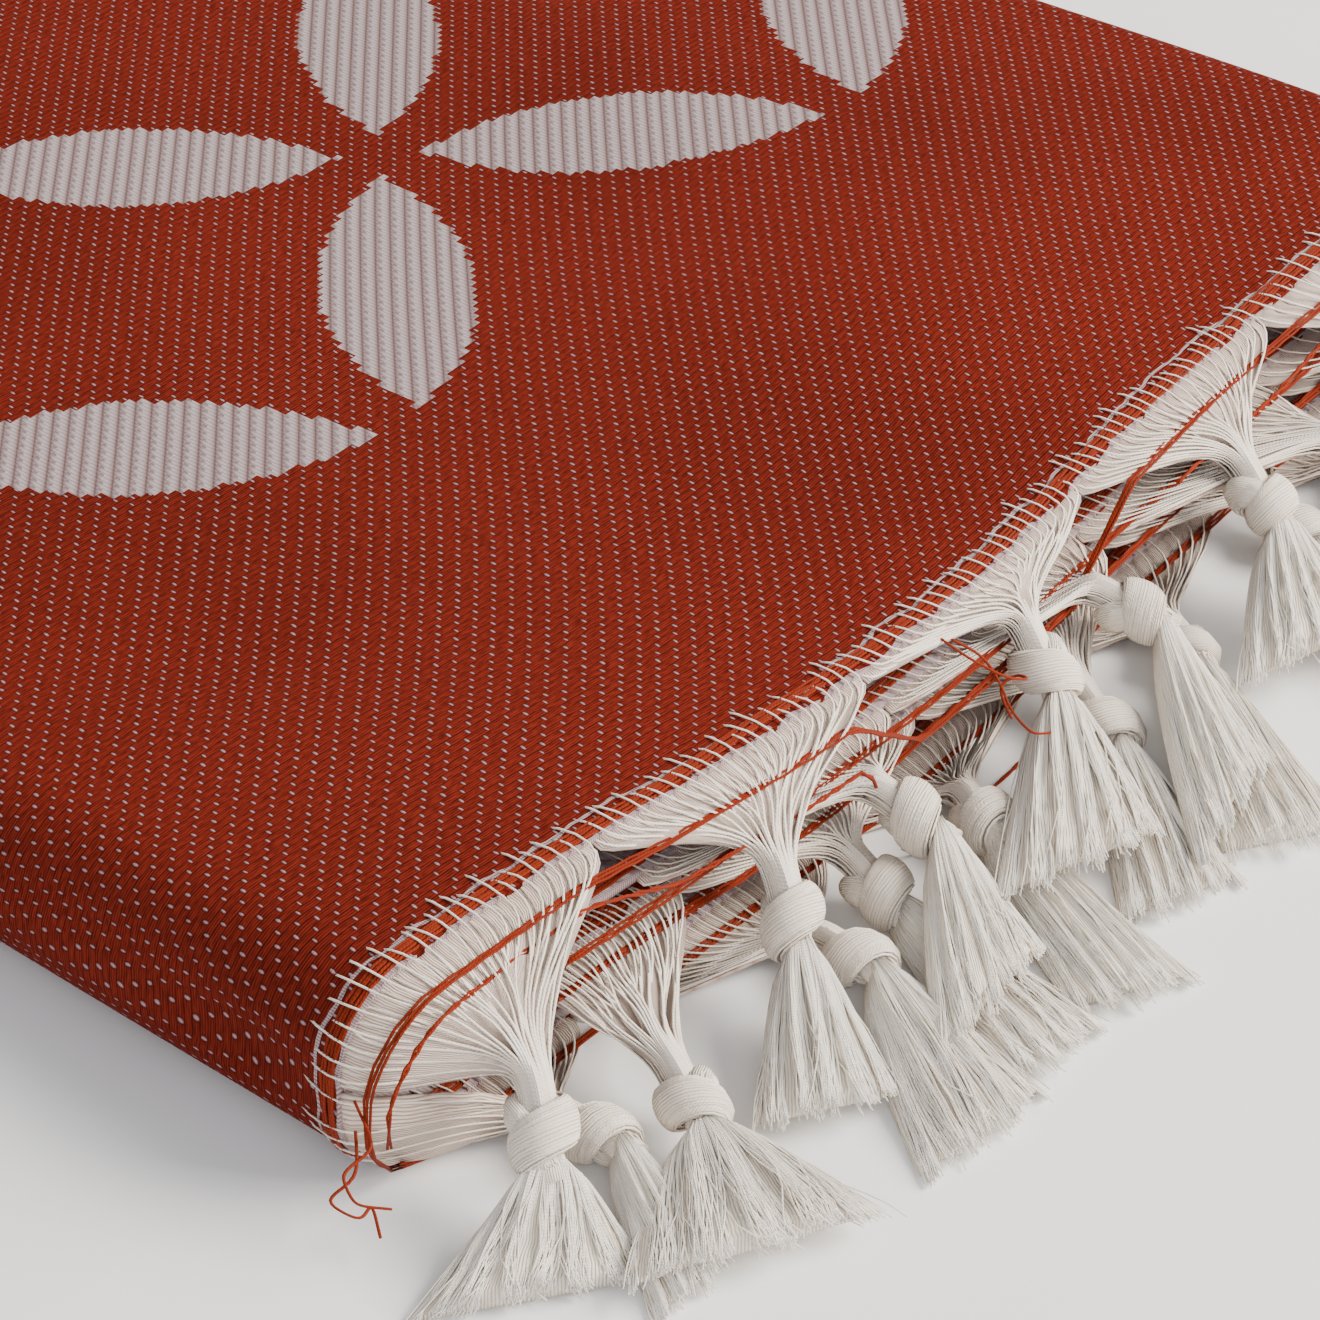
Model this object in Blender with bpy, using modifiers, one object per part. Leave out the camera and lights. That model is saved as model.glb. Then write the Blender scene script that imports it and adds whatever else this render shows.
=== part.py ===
"""A hammam towel folded into a flat stack, with knotted fringe at both ends.

The cloth is one sheet. It is folded in three along its length, back and forth, and that stack is
then folded in four across its width: once in half at the far side, and once more at the near side.
Each tassel is a fan of warp ends gathered from the cloth's edge, an overhand knot and the locks
below it.

Metres, +Z up. X runs along the warp, towards the front fringe. Y runs along the weft, away from the
near fold. The origin is the middle of the underside.
"""

import math
import random
from typing import NamedTuple

import bmesh
import bpy
from mathutils import Matrix, Vector

# Driving dimensions
TOWEL_WIDTH = 0.950  # along the weft, selvedge to selvedge
TOWEL_LENGTH = 1.750  # along the warp, without the fringe
CLOTH_THICKNESS = 0.0011
LAYER_PITCH = 0.0021  # middle of one layer to the middle of the next
HALF_FOLDED_WIDTH = 0.120  # the folds' centres stand this far either side of the middle
FIRST_RUN = 0.2185  # lowest layer, from its selvedge to the near fold
INNER_FOLD_SETBACK = 0.020  # the inner near fold lies this far inside the outer one
FRONT_EDGE_X = 0.300  # where the fringed front edge lies
BACK_FOLD_X = -0.287  # centre of the lengthwise fold at the back
FRONT_FOLD_X = 0.288  # centre of the lengthwise fold under the front edge
LAYERS_LONG = 3  # layers of the lengthwise fold
BASE = CLOTH_THICKNESS / 2  # middle of the lowest layer above the floor
DEEPEST = (LAYERS_LONG - 1) * LAYER_PITCH
HOLLOW_Y = -HALF_FOLDED_WIDTH + INNER_FOLD_SETBACK - 0.002  # nearer than this the stack is hollow

# Steps of the cloth's mesh
PANEL_PLACES = (-0.078, -0.046, -0.014, 0.018, 0.050, 0.082)  # columns across a flat panel, at y
FOLD_STEPS = {"near_fold": 8, "far_fold": 6, "inner_fold": 6}

# Unevenness of the stack
EDGE_BULGE = 0.008  # the front edge bows out by this much
EDGE_BULGE_Y = -0.036
EDGE_BULGE_SPREAD = 0.060
NEAR_SAG = 0.0045  # the top sinks by this much where the inner fold is set back
MOUTH_OPENING = 0.003  # the two middle layers part by this much at the front
RIPPLE = 0.0012

# Fringe
TASSELS_PER_END = 20
TASSEL_PITCH = TOWEL_WIDTH / TASSELS_PER_END
ROOT_GAP = 0.0006  # cloth edge to fringe
FAN_GAP = 0.0016  # between neighbouring fans
FAN_THICKNESS = 0.0009
LOCKS_PER_TASSEL = 5
LOCK_STEPS = 3
LOCK_FILL = 0.40  # half a lock's width over the distance between neighbouring locks
LOCK_HALF_THICKNESS = 0.0011
TIGHT_TURN = 0.025  # a fan does not bridge a fold whose turn is shorter


class Hang(NamedTuple):
    """Where one tassel hangs, in millimetres: out from the cloth's edge, along Y and up."""

    knot_out: float
    knot_y: float
    knot_z: float
    tip_out: float
    tip_y: float
    tip_z: float
    half_spread: float  # half the skirt's width at its tip


class Row(NamedTuple):
    """How the tassels of one row hang, in millimetres from the cloth's edge and from the floor."""

    knot_out: float
    knot_z: float
    shift: float  # the knot lies this far beside the middle of its fan
    lean: float  # the skirt's tip lies this far beside the knot
    tip_out: float
    tip_z: float
    half_spread: float


# The front fringe, tassel by tassel, from the lowest layer's selvedge to the inner one.
FRONT_HANGS = (
    #    knot_out knot_y knot_z tip_out tip_y tip_z half_spread
    # lowest layer
    Hang(20.0, 66.0, 5.0, 53.0, 47.0, 1.2, 7.5),
    Hang(20.0, 15.0, 5.0, 53.0, -8.0, 1.2, 7.5),
    Hang(20.0, -32.0, 5.0, 54.0, -44.5, 1.2, 7.0),
    Hang(23.5, -64.5, 5.0, 54.0, -77.0, 1.2, 9.0),
    # near fold, below and above
    Hang(19.0, -109.0, 5.0, 42.5, -118.0, 1.2, 6.0),
    Hang(19.4, -119.0, 13.8, 28.5, -132.4, 1.5, 11.0),
    # top layer
    Hang(18.5, -71.0, 13.4, 38.0, -88.0, 3.8, 7.0),
    Hang(14.5, -12.0, 15.0, 38.5, -36.5, 8.5, 10.0),
    Hang(16.0, 39.0, 15.0, 37.0, 21.0, 8.0, 10.0),
    Hang(19.0, 81.6, 13.0, 41.0, 69.0, 8.0, 10.0),
    # far fold
    Hang(16.0, 115.5, 17.5, 45.0, 106.0, 6.0, 9.0),
    # upper inner layer
    Hang(22.0, 100.0, 13.2, 49.0, 83.0, 4.4, 10.0),
    Hang(22.0, 58.5, 13.2, 50.0, 41.0, 4.4, 9.0),
    Hang(16.0, 7.0, 14.5, 46.0, -12.0, 6.0, 10.0),
    Hang(18.5, -46.0, 13.6, 43.0, -61.5, 5.4, 10.0),
    # inner fold
    Hang(25.5, -99.5, 7.2, 46.5, -111.5, 4.6, 12.5),
    # lower inner layer
    Hang(18.2, -52.0, 5.3, 52.5, -59.5, 1.2, 7.0),
    Hang(21.0, -6.0, 5.0, 48.0, -26.5, 1.2, 7.5),
    Hang(17.0, 48.0, 5.0, 51.0, 27.0, 1.2, 7.5),
    Hang(17.0, 94.0, 6.0, 50.0, 73.0, 1.2, 7.5),
)
BACK_ROWS = {
    #                 knot_out knot_z shift  lean   tip_out tip_z half_spread
    "lowest": Row(20.0, 5.0, 4.0, -9.0, 55.0, 1.2, 9.0),
    "near_low": Row(19.0, 5.0, -16.0, -7.0, 53.0, 1.2, 8.0),
    "near_top": Row(17.0, 13.5, -13.0, -8.0, 46.0, 4.2, 9.0),
    "top": Row(13.0, 17.0, -4.0, -8.0, 46.0, 7.4, 11.0),
    "far": Row(17.0, 15.5, 4.0, -4.0, 48.0, 7.4, 9.0),
    "upper_inner": Row(21.0, 12.5, 8.0, -9.0, 53.0, 4.2, 10.0),
    "inner_fold": Row(21.0, 7.8, -1.0, -9.0, 54.0, 1.2, 8.0),
    "lower_inner": Row(18.0, 7.8, -10.0, -9.0, 55.0, 1.2, 8.0),
}
# Where the front knots were tied from more or fewer yarns, the fans begin further on, in millimetres.
FRONT_FAN_OFFSETS = {8: 5.0, 9: 8.0, 10: 1.0}


class Ring(NamedTuple):
    """A cross-section of the knot, in millimetres along the yarns from the knot's middle."""

    along: float
    half_width: float
    half_height: float
    tilt: float  # how far the ring's ends lie before and behind its middle


KNOT_RINGS = (
    #    along half_width half_height tilt
    Ring(-4.4, 2.5, 2.2, 0.8),
    Ring(-2.3, 4.6, 4.3, 1.6),
    Ring(2.0, 4.8, 4.5, 1.6),
    Ring(4.2, 3.0, 2.4, 0.4),
)
FAN_RINGS = (0.0, 0.45)  # shares of the way from the cloth's edge to the first ring of the knot

MM = 0.001
SHARP_ANGLE = math.radians(50)

RUST = (0.42, 0.055, 0.012, 1.0)
ECRU = (0.72, 0.66, 0.56, 1.0)


def smooth_step(value):
    """0 below 0, 1 above 1 and an even slope between them."""
    t = min(1.0, max(0.0, value))
    return t * t * (3 - 2 * t)


# --- The folded section, across the width -----------------------------------------------------


class Run(NamedTuple):
    """One stretch of the folded section, between two (y, z) points: a straight panel or a half turn."""

    name: str
    length: float
    start: tuple
    end: tuple
    bulge: int  # 0 on a panel; on a fold the side it turns out to, along Y


def panel_run(name, z, y_start, y_end):
    """A straight panel of the section."""
    return Run(name, abs(y_end - y_start), (y_start, z), (y_end, z), 0)


def fold_run(name, y, z_start, z_end, bulge):
    """A half turn of the section."""
    return Run(name, math.pi * abs(z_end - z_start) / 2, (y, z_start), (y, z_end), bulge)


def section_runs(depth):
    """The seven runs of the section, from the lowest layer's selvedge to the inner selvedge.

    depth is how far a layer lies inside the outermost one. An inner layer takes tighter turns, so
    its selvedges end elsewhere; the middle of the far fold is one line of the cloth at every depth.
    """
    near, far = -HALF_FOLDED_WIDTH, HALF_FOLDED_WIDTH
    inner = near + INNER_FOLD_SETBACK
    lowest, lower_inner = BASE + depth, BASE + 5 * LAYER_PITCH - depth
    upper_inner, top = BASE + 6 * LAYER_PITCH + depth, BASE + 11 * LAYER_PITCH - depth
    near_fold = fold_run("near_fold", near, lowest, top, -1)
    far_fold = fold_run("far_fold", far, top, upper_inner, 1)
    inner_fold = fold_run("inner_fold", inner, upper_inner, lower_inner, -1)
    before_far_fold = FIRST_RUN + math.pi * 6.75 * LAYER_PITCH
    first = before_far_fold - far_fold.length / 2 - near_fold.length
    after_far_fold = TOWEL_WIDTH - before_far_fold - (far - near)
    last = after_far_fold - far_fold.length / 2 - (far - inner) - inner_fold.length
    return [
        panel_run("lowest", lowest, near + first, near),
        near_fold,
        panel_run("top", top, near, far),
        far_fold,
        panel_run("upper_inner", upper_inner, far, inner),
        inner_fold,
        panel_run("lower_inner", lower_inner, inner, inner + last),
    ]


def point_on_run(run, share):
    """(y, z) at a share of a run's length."""
    (y0, z0), (y1, z1) = run.start, run.end
    if run.bulge == 0:
        return y0 + (y1 - y0) * share, z0
    turn = math.pi * (share - 0.5)
    y = y0 + run.bulge * abs(z1 - z0) / 2 * math.cos(turn)
    return y, (z0 + z1) / 2 + (z1 - z0) / 2 * math.sin(turn)


def locate(across, depth):
    """The run at a distance across the cloth from its first selvedge, and the share along that run."""
    for run in section_runs(depth):
        if across <= run.length:
            return run, across / run.length
        across -= run.length
    return run, 1.0


def unevenness(x, y, z):
    """Where a point of the ideal stack really lies.

    The front edge bows out, the near side sags where the inner fold is set back, the middle layers
    part at the front, and the upper layers ripple softly. The lowest layer stays flat.
    """
    height = min(1.0, max(0.0, (z - BASE) / (11 * LAYER_PITCH)))
    front = smooth_step((x - FRONT_EDGE_X + 0.150) / 0.150) * (0.35 + 0.65 * height)
    bow = EDGE_BULGE * front * math.exp(-(((y - EDGE_BULGE_Y) / EDGE_BULGE_SPREAD) ** 2))
    slack = smooth_step((FRONT_EDGE_X - 0.010 - x) / 0.170) * smooth_step((HOLLOW_Y - y) / 0.024)
    sag = NEAR_SAG * slack * smooth_step((z - BASE - 2 * LAYER_PITCH) / (7 * LAYER_PITCH))
    held_open = smooth_step((x - FRONT_EDGE_X + 0.100) / 0.090)
    mouth = MOUTH_OPENING * held_open * smooth_step((z - BASE - 5 * LAYER_PITCH) / LAYER_PITCH)
    ripple = RIPPLE * height * (math.sin(x * 27 + y * 12 + 0.6) + 0.7 * math.sin(y * 33 - x * 11 + 1.9))
    return Vector((x + bow, y, z - sag + mouth + ripple))


# --- The lengthwise fold ----------------------------------------------------------------------


def back_edge_x():
    """Where the fringed back edge lies, at the end of the lengthwise path."""
    folds = 2 * math.pi * LAYER_PITCH / 2
    laid = (FRONT_EDGE_X - BACK_FOLD_X) + (FRONT_FOLD_X - BACK_FOLD_X) + folds
    return FRONT_FOLD_X - (TOWEL_LENGTH - laid)


def long_stations(flat_steps, fold_steps):
    """(x, depth) of each row of the cloth, from the front edge to the back edge.

    The layers share their rows' places, which stand closer together near the folds.
    """
    span = FRONT_FOLD_X - BACK_FOLD_X
    shares = [(1 - math.cos(math.pi * step / flat_steps)) / 2 for step in range(flat_steps + 1)]
    places = [BACK_FOLD_X + span * share for share in shares]
    turns = [math.pi * step / fold_steps for step in range(1, fold_steps)]
    radius = LAYER_PITCH / 2
    stations = [(FRONT_EDGE_X, 0.0)]
    stations += [(x, 0.0) for x in reversed(places)]
    stations += [(BACK_FOLD_X - radius * math.sin(turn), radius * (1 - math.cos(turn))) for turn in turns]
    stations += [(x, LAYER_PITCH) for x in places]
    stations += [
        (FRONT_FOLD_X + radius * math.sin(turn), LAYER_PITCH + radius * (1 - math.cos(turn)))
        for turn in turns
    ]
    stations += [(x, DEEPEST) for x in reversed(places)]
    stations.append((back_edge_x(), DEEPEST))
    return stations


# --- Blender helpers --------------------------------------------------------------------------


def new_material(name, colour, roughness):
    """A plain cloth finish."""
    material = bpy.data.materials.new(name)
    material.use_nodes = True
    shader = material.node_tree.nodes["Principled BSDF"]
    shader.inputs["Base Color"].default_value = colour
    shader.inputs["Roughness"].default_value = roughness
    shader.inputs["Metallic"].default_value = 0.0
    return material


def add_object(name, shape, material, collection):
    """An object made from a bmesh, smooth but for its sharp edges; the bmesh is freed."""
    mesh = bpy.data.meshes.new(name)
    shape.to_mesh(mesh)
    shape.free()
    mesh.shade_smooth()
    mesh.set_sharp_from_angle(angle=SHARP_ANGLE)
    mesh.materials.append(material)
    obj = bpy.data.objects.new(name, mesh)
    collection.objects.link(obj)
    return obj


def comb_shape(rings, teeth, steps):
    """A box primitive cut into rings, with one tooth extruded from each cell of its last face.

    It is laid out in plain steps: x from -1 to 1 across, z -1 and 1 for the undersides and tops, and
    y counts the rings from 0 and then the steps of the teeth. Each tooth keeps to its own cell.
    """
    shape = bmesh.new()
    bmesh.ops.create_cube(shape, size=2.0)
    for axis, cuts in ((0, teeth - 1), (1, rings - 2)):
        edges = [e for e in shape.edges if abs(e.verts[0].co[axis] - e.verts[1].co[axis]) > 1.0]
        bmesh.ops.subdivide_edges(shape, edges=edges, cuts=cuts, use_grid_fill=True)
    for vert in shape.verts:
        vert.co.y = round((vert.co.y + 1) / 2 * (rings - 1))
    ends = [face for face in shape.faces if face.calc_center_median().y > rings - 1.1]
    for step in range(steps):
        ends = bmesh.ops.extrude_discrete_faces(shape, faces=ends)["faces"]
        for face in ends:
            middle = face.calc_center_median().x
            for vert in face.verts:
                vert.co.y += 1.0
                if step == 0:
                    vert.co.x += 0.3 * (middle - vert.co.x)
    return shape


# --- The cloth --------------------------------------------------------------------------------


def column_points(depth):
    """(y, z) of each column of the cloth at a depth; the panels share the places of their columns."""
    points = []
    for run in section_runs(depth):
        if run.bulge:
            steps = FOLD_STEPS[run.name]
            points += [point_on_run(run, step / steps) for step in range(1, steps)]
            continue
        places = list(PANEL_PLACES)
        if min(run.start[0], run.end[0]) < HOLLOW_Y:
            places.insert(0, HOLLOW_Y)
        if run.end[0] < run.start[0]:
            places.reverse()
        points += [run.start] + [(y, run.start[1]) for y in places] + [run.end]
    return points


def build_cloth(collection, material):
    """The towel's cloth: a grid laid into both folds, given its thickness by Solidify."""
    rows = long_stations(flat_steps=7, fold_steps=4)
    placed = [[unevenness(x, y, z) for y, z in column_points(depth)] for x, depth in rows]
    across, along = len(placed[0]) - 1, len(placed) - 1
    shape = bmesh.new()
    bmesh.ops.create_grid(shape, x_segments=across, y_segments=along, size=1.0)
    for vert in shape.verts:
        column = round((vert.co.x + 1) / 2 * across)
        row = round((vert.co.y + 1) / 2 * along)
        vert.co = placed[row][column]
    cloth = add_object("towel_cloth", shape, material, collection)
    wall = cloth.modifiers.new("thickness", "SOLIDIFY")
    wall.thickness = CLOTH_THICKNESS
    wall.offset = 0.0
    wall.use_even_offset = True
    return cloth


# --- The fringe -------------------------------------------------------------------------------


def fan_range(number, depth):
    """From where to where across the cloth a tassel gathers its yarns, stopping short of a tight fold."""
    offsets = FRONT_FAN_OFFSETS if depth == 0.0 else {}
    low = number * TASSEL_PITCH + offsets.get(number, 0.0) * MM + FAN_GAP / 2
    high = (number + 1) * TASSEL_PITCH + offsets.get(number + 1, 0.0) * MM - FAN_GAP / 2
    reached = 0.0
    for run in section_runs(depth):
        start, reached = reached, reached + run.length
        if run.bulge and run.length < TIGHT_TURN and low < reached and high > start:
            if start - low > high - reached:
                high = start
            else:
                low = reached
    return low, high


def row_of(across, depth):
    """The name of the row that a tassel belongs to, from where its middle lies.

    Next to a fold a tassel hangs in its own way: on both sides of the near fold, on top of the far
    one and under the inner one.
    """
    run, share = locate(across, depth)
    along, left = share * run.length, (1 - share) * run.length
    if run.name == "near_fold":
        return "near_low" if share < 0.5 else "near_top"
    if run.name == "lowest" and left < 0.035:
        return "near_low"
    if run.name == "top" and along < 0.025:
        return "near_top"
    if run.name == "top" and left < 0.014:
        return "far"
    if run.name == "lower_inner" and along < 0.030:
        return "inner_fold"
    return run.name


def back_hang(number, low, high):
    """Where a tassel of the back fringe hangs: its row's place, and a little by chance."""
    middle = (low + high) / 2
    row = BACK_ROWS[row_of(middle, DEEPEST)]
    run, share = locate(middle, DEEPEST)
    y, z = point_on_run(run, share)
    chance = random.Random(number)
    knot_y = unevenness(back_edge_x(), y, z).y / MM + row.shift + chance.uniform(-0.8, 0.8)
    tip_out = row.tip_out + chance.uniform(-2.5, 2.5)
    tip_y = knot_y + row.lean + chance.uniform(-0.9, 0.9)
    return Hang(row.knot_out, knot_y, row.knot_z, tip_out, tip_y, row.tip_z, row.half_spread)


def build_tassel(name, number, end, collection, material):
    """One tassel of the front (end 1) or back (end -1) fringe, in one piece: fan, knot and locks."""
    depth = 0.0 if end > 0 else DEEPEST
    edge_x = FRONT_EDGE_X if end > 0 else back_edge_x()
    low, high = fan_range(number, depth)
    hang = FRONT_HANGS[number] if end > 0 else back_hang(number, low, high)
    chance = random.Random(100 * (end > 0) + number)

    def root(across):
        """A point of the fan's root, just off the cloth's edge."""
        run, share = locate(low + (high - low) * (across + 1) / 2, depth)
        y, z = point_on_run(run, share)
        return unevenness(edge_x, y, z) + Vector((end * ROOT_GAP, 0, 0))

    def root_up(across):
        """The cloth's own thickness direction at the root."""
        along = root(min(1.0, across + 0.02)) - root(max(-1.0, across - 0.02))
        return Vector((0.0, -along.z, along.y)).normalized()

    start = root(0.0)
    chord = root(1.0) - root(-1.0)
    facing = 1 if chord.y > 0 else -1
    knot = Vector((edge_x + end * hang.knot_out * MM, hang.knot_y * MM, hang.knot_z * MM))
    tip = Vector((edge_x + end * hang.tip_out * MM, hang.tip_y * MM, hang.tip_z * MM))
    pull = (knot - start).normalized()
    fall = (tip - knot).normalized()
    axis = (pull + fall).normalized()
    side = Vector((-axis.y, axis.x, 0.0)).normalized()
    side *= facing if side.y > 0 else -facing
    up = axis.cross(side) * (1 if axis.cross(side).z * facing > 0 else -1)
    tilt_sense = chance.choice((-1, 1))
    reaches = [1 + chance.uniform(-0.06, 0.03) for _ in range(LOCKS_PER_TASSEL)]
    bow = chance.uniform(-1.5, 1.5) * MM

    def knot_point(ring, across, top):
        """A corner of a ring of the knot: an ellipse, sheared to lie aslant like an overhand wrap."""
        turn = across * math.radians(66)
        flank = math.sin(turn) / math.sin(math.radians(66))
        return (
            knot
            + axis * (ring.along + ring.tilt * tilt_sense * flank) * MM
            + side * ring.half_width * MM * flank
            + up * ring.half_height * MM * top * math.cos(turn)
        )

    def fan_point(share, across, top):
        """From the cloth's edge to the first ring of the knot, drawn in quickly."""
        at_root, at_neck = root(across), knot_point(KNOT_RINGS[0], across, 0)
        half_at_root = root_up(across) * FAN_THICKNESS / 2
        half_at_neck = knot_point(KNOT_RINGS[0], across, 1) - at_neck
        point = at_root.lerp(at_neck, math.sin(share * math.pi / 2))
        point.x = at_root.lerp(at_neck, share).x
        return point + half_at_root.lerp(half_at_neck, share**3) * top

    def lock_point(share, across, top):
        """Down from the knot in a soft bend, level at the tip, the locks ever further apart."""
        lock = min(LOCKS_PER_TASSEL - 1, int((across + 1) / 2 * LOCKS_PER_TASSEL))
        place = (2 * lock + 1) / LOCKS_PER_TASSEL - 1
        edge = 1 if across > place else -1
        spread = hang.half_spread * MM * share + KNOT_RINGS[-1].half_width * MM * (1 - share)
        origin = knot + axis * KNOT_RINGS[-1].along * MM
        point = origin.lerp(tip, share * (reaches[lock] - 0.10 * place * place))
        point += side * (spread * (place + edge * LOCK_FILL * 2 / LOCKS_PER_TASSEL))
        point += side * bow * math.sin(share * math.pi)
        point.z = tip.z + (origin.z - tip.z) * (1 - share) ** 2 + top * facing * LOCK_HALF_THICKNESS
        return point

    rings = len(FAN_RINGS) + len(KNOT_RINGS)
    shape = comb_shape(rings, LOCKS_PER_TASSEL, LOCK_STEPS)
    for vert in shape.verts:
        across, station, top = vert.co
        station = round(station)
        if station < len(FAN_RINGS):
            point = fan_point(FAN_RINGS[station], across, top)
        elif station < rings:
            point = knot_point(KNOT_RINGS[station - len(FAN_RINGS)], across, top)
        else:
            point = lock_point((station - rings + 1) / LOCK_STEPS, across, top)
        vert.co = point
    if shape.calc_volume(signed=True) < 0:
        bmesh.ops.reverse_faces(shape, faces=shape.faces)
    return add_object(name, shape, material, collection)


def centre_on_origin(objects):
    """Moves the whole towel so that the middle of its box's underside is the origin."""
    bpy.context.view_layer.update()
    graph = bpy.context.evaluated_depsgraph_get()
    meshes = [obj.evaluated_get(graph).data for obj in objects]
    corners = [vert.co for mesh in meshes for vert in mesh.vertices]
    low = Vector([min(corner[axis] for corner in corners) for axis in range(3)])
    high = Vector([max(corner[axis] for corner in corners) for axis in range(3)])
    shift = Vector((-(low.x + high.x) / 2, -(low.y + high.y) / 2, -low.z))
    for obj in objects:
        obj.data.transform(Matrix.Translation(shift))


def main():
    """Clears the scene and builds the towel."""
    for obj in list(bpy.data.objects):
        bpy.data.objects.remove(obj)
    towel = bpy.data.collections.new("hammam_towel")
    bpy.context.scene.collection.children.link(towel)
    cloth_finish = new_material("woven_cotton", RUST, 0.9)
    fringe_finish = new_material("fringe_cotton", ECRU, 0.85)
    parts = [build_cloth(towel, cloth_finish)]
    for end, label in ((1, "front"), (-1, "back")):
        for number in range(TASSELS_PER_END):
            name = f"tassel_{label}_{number + 1:02d}"
            parts.append(build_tassel(name, number, end, towel, fringe_finish))
    centre_on_origin(parts)


main()
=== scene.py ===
"""Looks of a folded hammam towel: jacquard-woven cotton with hand-knotted warp tassels.

Every shape is a surface worked out with numpy: the cloth is a sheet laid into two folds, and a
tassel is a bundle of yarns carried from the cloth's edge, round its own knot and down its skirt.
Lengths are metres unless a name or comment says millimetres.
"""

import logging
import math
import random
from dataclasses import dataclass, field
from enum import Enum, IntEnum
from functools import partial
from typing import Callable

import bpy
import numpy as np
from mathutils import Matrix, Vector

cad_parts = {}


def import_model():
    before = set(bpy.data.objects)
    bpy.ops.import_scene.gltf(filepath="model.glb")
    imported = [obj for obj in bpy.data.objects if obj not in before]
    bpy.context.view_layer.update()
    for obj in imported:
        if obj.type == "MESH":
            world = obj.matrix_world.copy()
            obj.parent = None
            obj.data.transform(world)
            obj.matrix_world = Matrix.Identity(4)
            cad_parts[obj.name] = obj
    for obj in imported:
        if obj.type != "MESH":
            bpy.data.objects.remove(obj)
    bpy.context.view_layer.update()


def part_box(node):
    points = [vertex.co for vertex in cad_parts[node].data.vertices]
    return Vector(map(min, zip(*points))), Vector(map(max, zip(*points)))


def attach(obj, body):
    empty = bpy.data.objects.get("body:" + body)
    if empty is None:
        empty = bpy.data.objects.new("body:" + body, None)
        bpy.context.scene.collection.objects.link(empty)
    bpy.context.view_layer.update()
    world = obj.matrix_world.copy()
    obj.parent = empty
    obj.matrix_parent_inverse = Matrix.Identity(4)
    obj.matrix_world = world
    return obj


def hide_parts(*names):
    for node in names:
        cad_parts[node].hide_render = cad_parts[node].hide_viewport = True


LOG = logging.getLogger("towel")
MM = 0.001


# --- Sizes ------------------------------------------------------------------------------------


@dataclass(frozen=True)
class TowelSize:
    """Sizes of the cloth and of its folds, the same as the solids have."""

    width: float = 0.950
    length: float = 1.750
    thickness: float = 0.0011
    pitch: float = 0.0021
    half_folded: float = 0.120
    first_run: float = 0.2185
    inner_setback: float = 0.020
    front_edge_x: float = 0.300
    back_fold_x: float = -0.287
    front_fold_x: float = 0.288
    edge_bulge: float = 0.008
    edge_bulge_y: float = -0.036
    edge_bulge_spread: float = 0.060
    bow_reach: float = 0.150  # inwards from the front edge
    lowest_bow: float = 0.35  # the lowest layer's share of the bow
    near_sag: float = 0.0045
    sag_start: float = 0.010  # inwards from the front edge
    sag_run: float = 0.170  # over which it grows to the whole
    sag_side_run: float = 0.024  # the same, from the hollow's inner side
    mouth_opening: float = 0.003
    mouth_reach: float = 0.100  # inwards from the front edge
    mouth_run: float = 0.090
    dent_run: float = 0.004  # beyond the near panels' end, over which the dents grow to the whole
    ripple: float = 0.0012
    tassels_per_end: int = 20

    @property
    def base(self) -> float:
        """Middle of the lowest layer above the floor."""
        return self.thickness / 2

    @property
    def deepest(self) -> float:
        """Depth of the innermost of the three lengthwise layers."""
        return 2 * self.pitch

    @property
    def hollow_y(self) -> float:
        """Nearer than this the stack is hollow."""
        return -self.half_folded + self.inner_setback - 0.002

    @property
    def back_edge_x(self) -> float:
        """Where the fringed back edge lies, at the end of the lengthwise path."""
        laid = (self.front_edge_x - self.back_fold_x) + (self.front_fold_x - self.back_fold_x)
        return self.front_fold_x - (self.length - laid - math.pi * self.pitch)


@dataclass(frozen=True)
class Crease:
    """A soft trough or ridge laid on the stack.

    It is a bell of the given rise across a line, faded out towards the line's ends.
    """

    x: float
    y: float
    angle_deg: float
    length: float
    width: float
    rise: float

    def bell(self, x: np.ndarray, y: np.ndarray) -> np.ndarray:
        """The crease's rise at places on the stack.

        Args:
            x: places along the warp.
            y: places along the weft.

        Returns:
            The rise at each.
        """
        turn = math.radians(self.angle_deg)
        along = (x - self.x) * math.cos(turn) + (y - self.y) * math.sin(turn)
        beside = -(x - self.x) * math.sin(turn) + (y - self.y) * math.cos(turn)
        return self.rise * np.exp(-((2 * along / self.length) ** 2) - (beside / self.width) ** 2)


CREASES = (
    #      x      y       angle   length  width  rise
    Crease(0.225, -0.098, 24.0, 0.120, 0.011, -0.0011),
    Crease(0.262, -0.086, 38.0, 0.075, 0.008, 0.0009),
    Crease(0.120, -0.050, 8.0, 0.260, 0.030, 0.0010),
    Crease(0.060, 0.030, -6.0, 0.330, 0.026, -0.0009),
    Crease(0.240, 0.045, -18.0, 0.140, 0.018, 0.0008),
    Crease(0.272, 0.002, 72.0, 0.090, 0.010, -0.0007),
    Crease(-0.150, -0.020, 14.0, 0.240, 0.028, 0.0009),
)


@dataclass(frozen=True)
class Dent:
    """A soft dent pushed into the near fold: a bell of the given depth about a place."""

    x: float
    z: float
    length: float
    height: float
    depth: float

    def bell(self, x: np.ndarray, z: np.ndarray) -> np.ndarray:
        """The dent's depth at places on the near fold.

        Args:
            x: places along the warp.
            z: heights.

        Returns:
            The depth at each.
        """
        away = (2 * (x - self.x) / self.length) ** 2 + ((z - self.z) / self.height) ** 2
        return self.depth * np.exp(-away)


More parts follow.
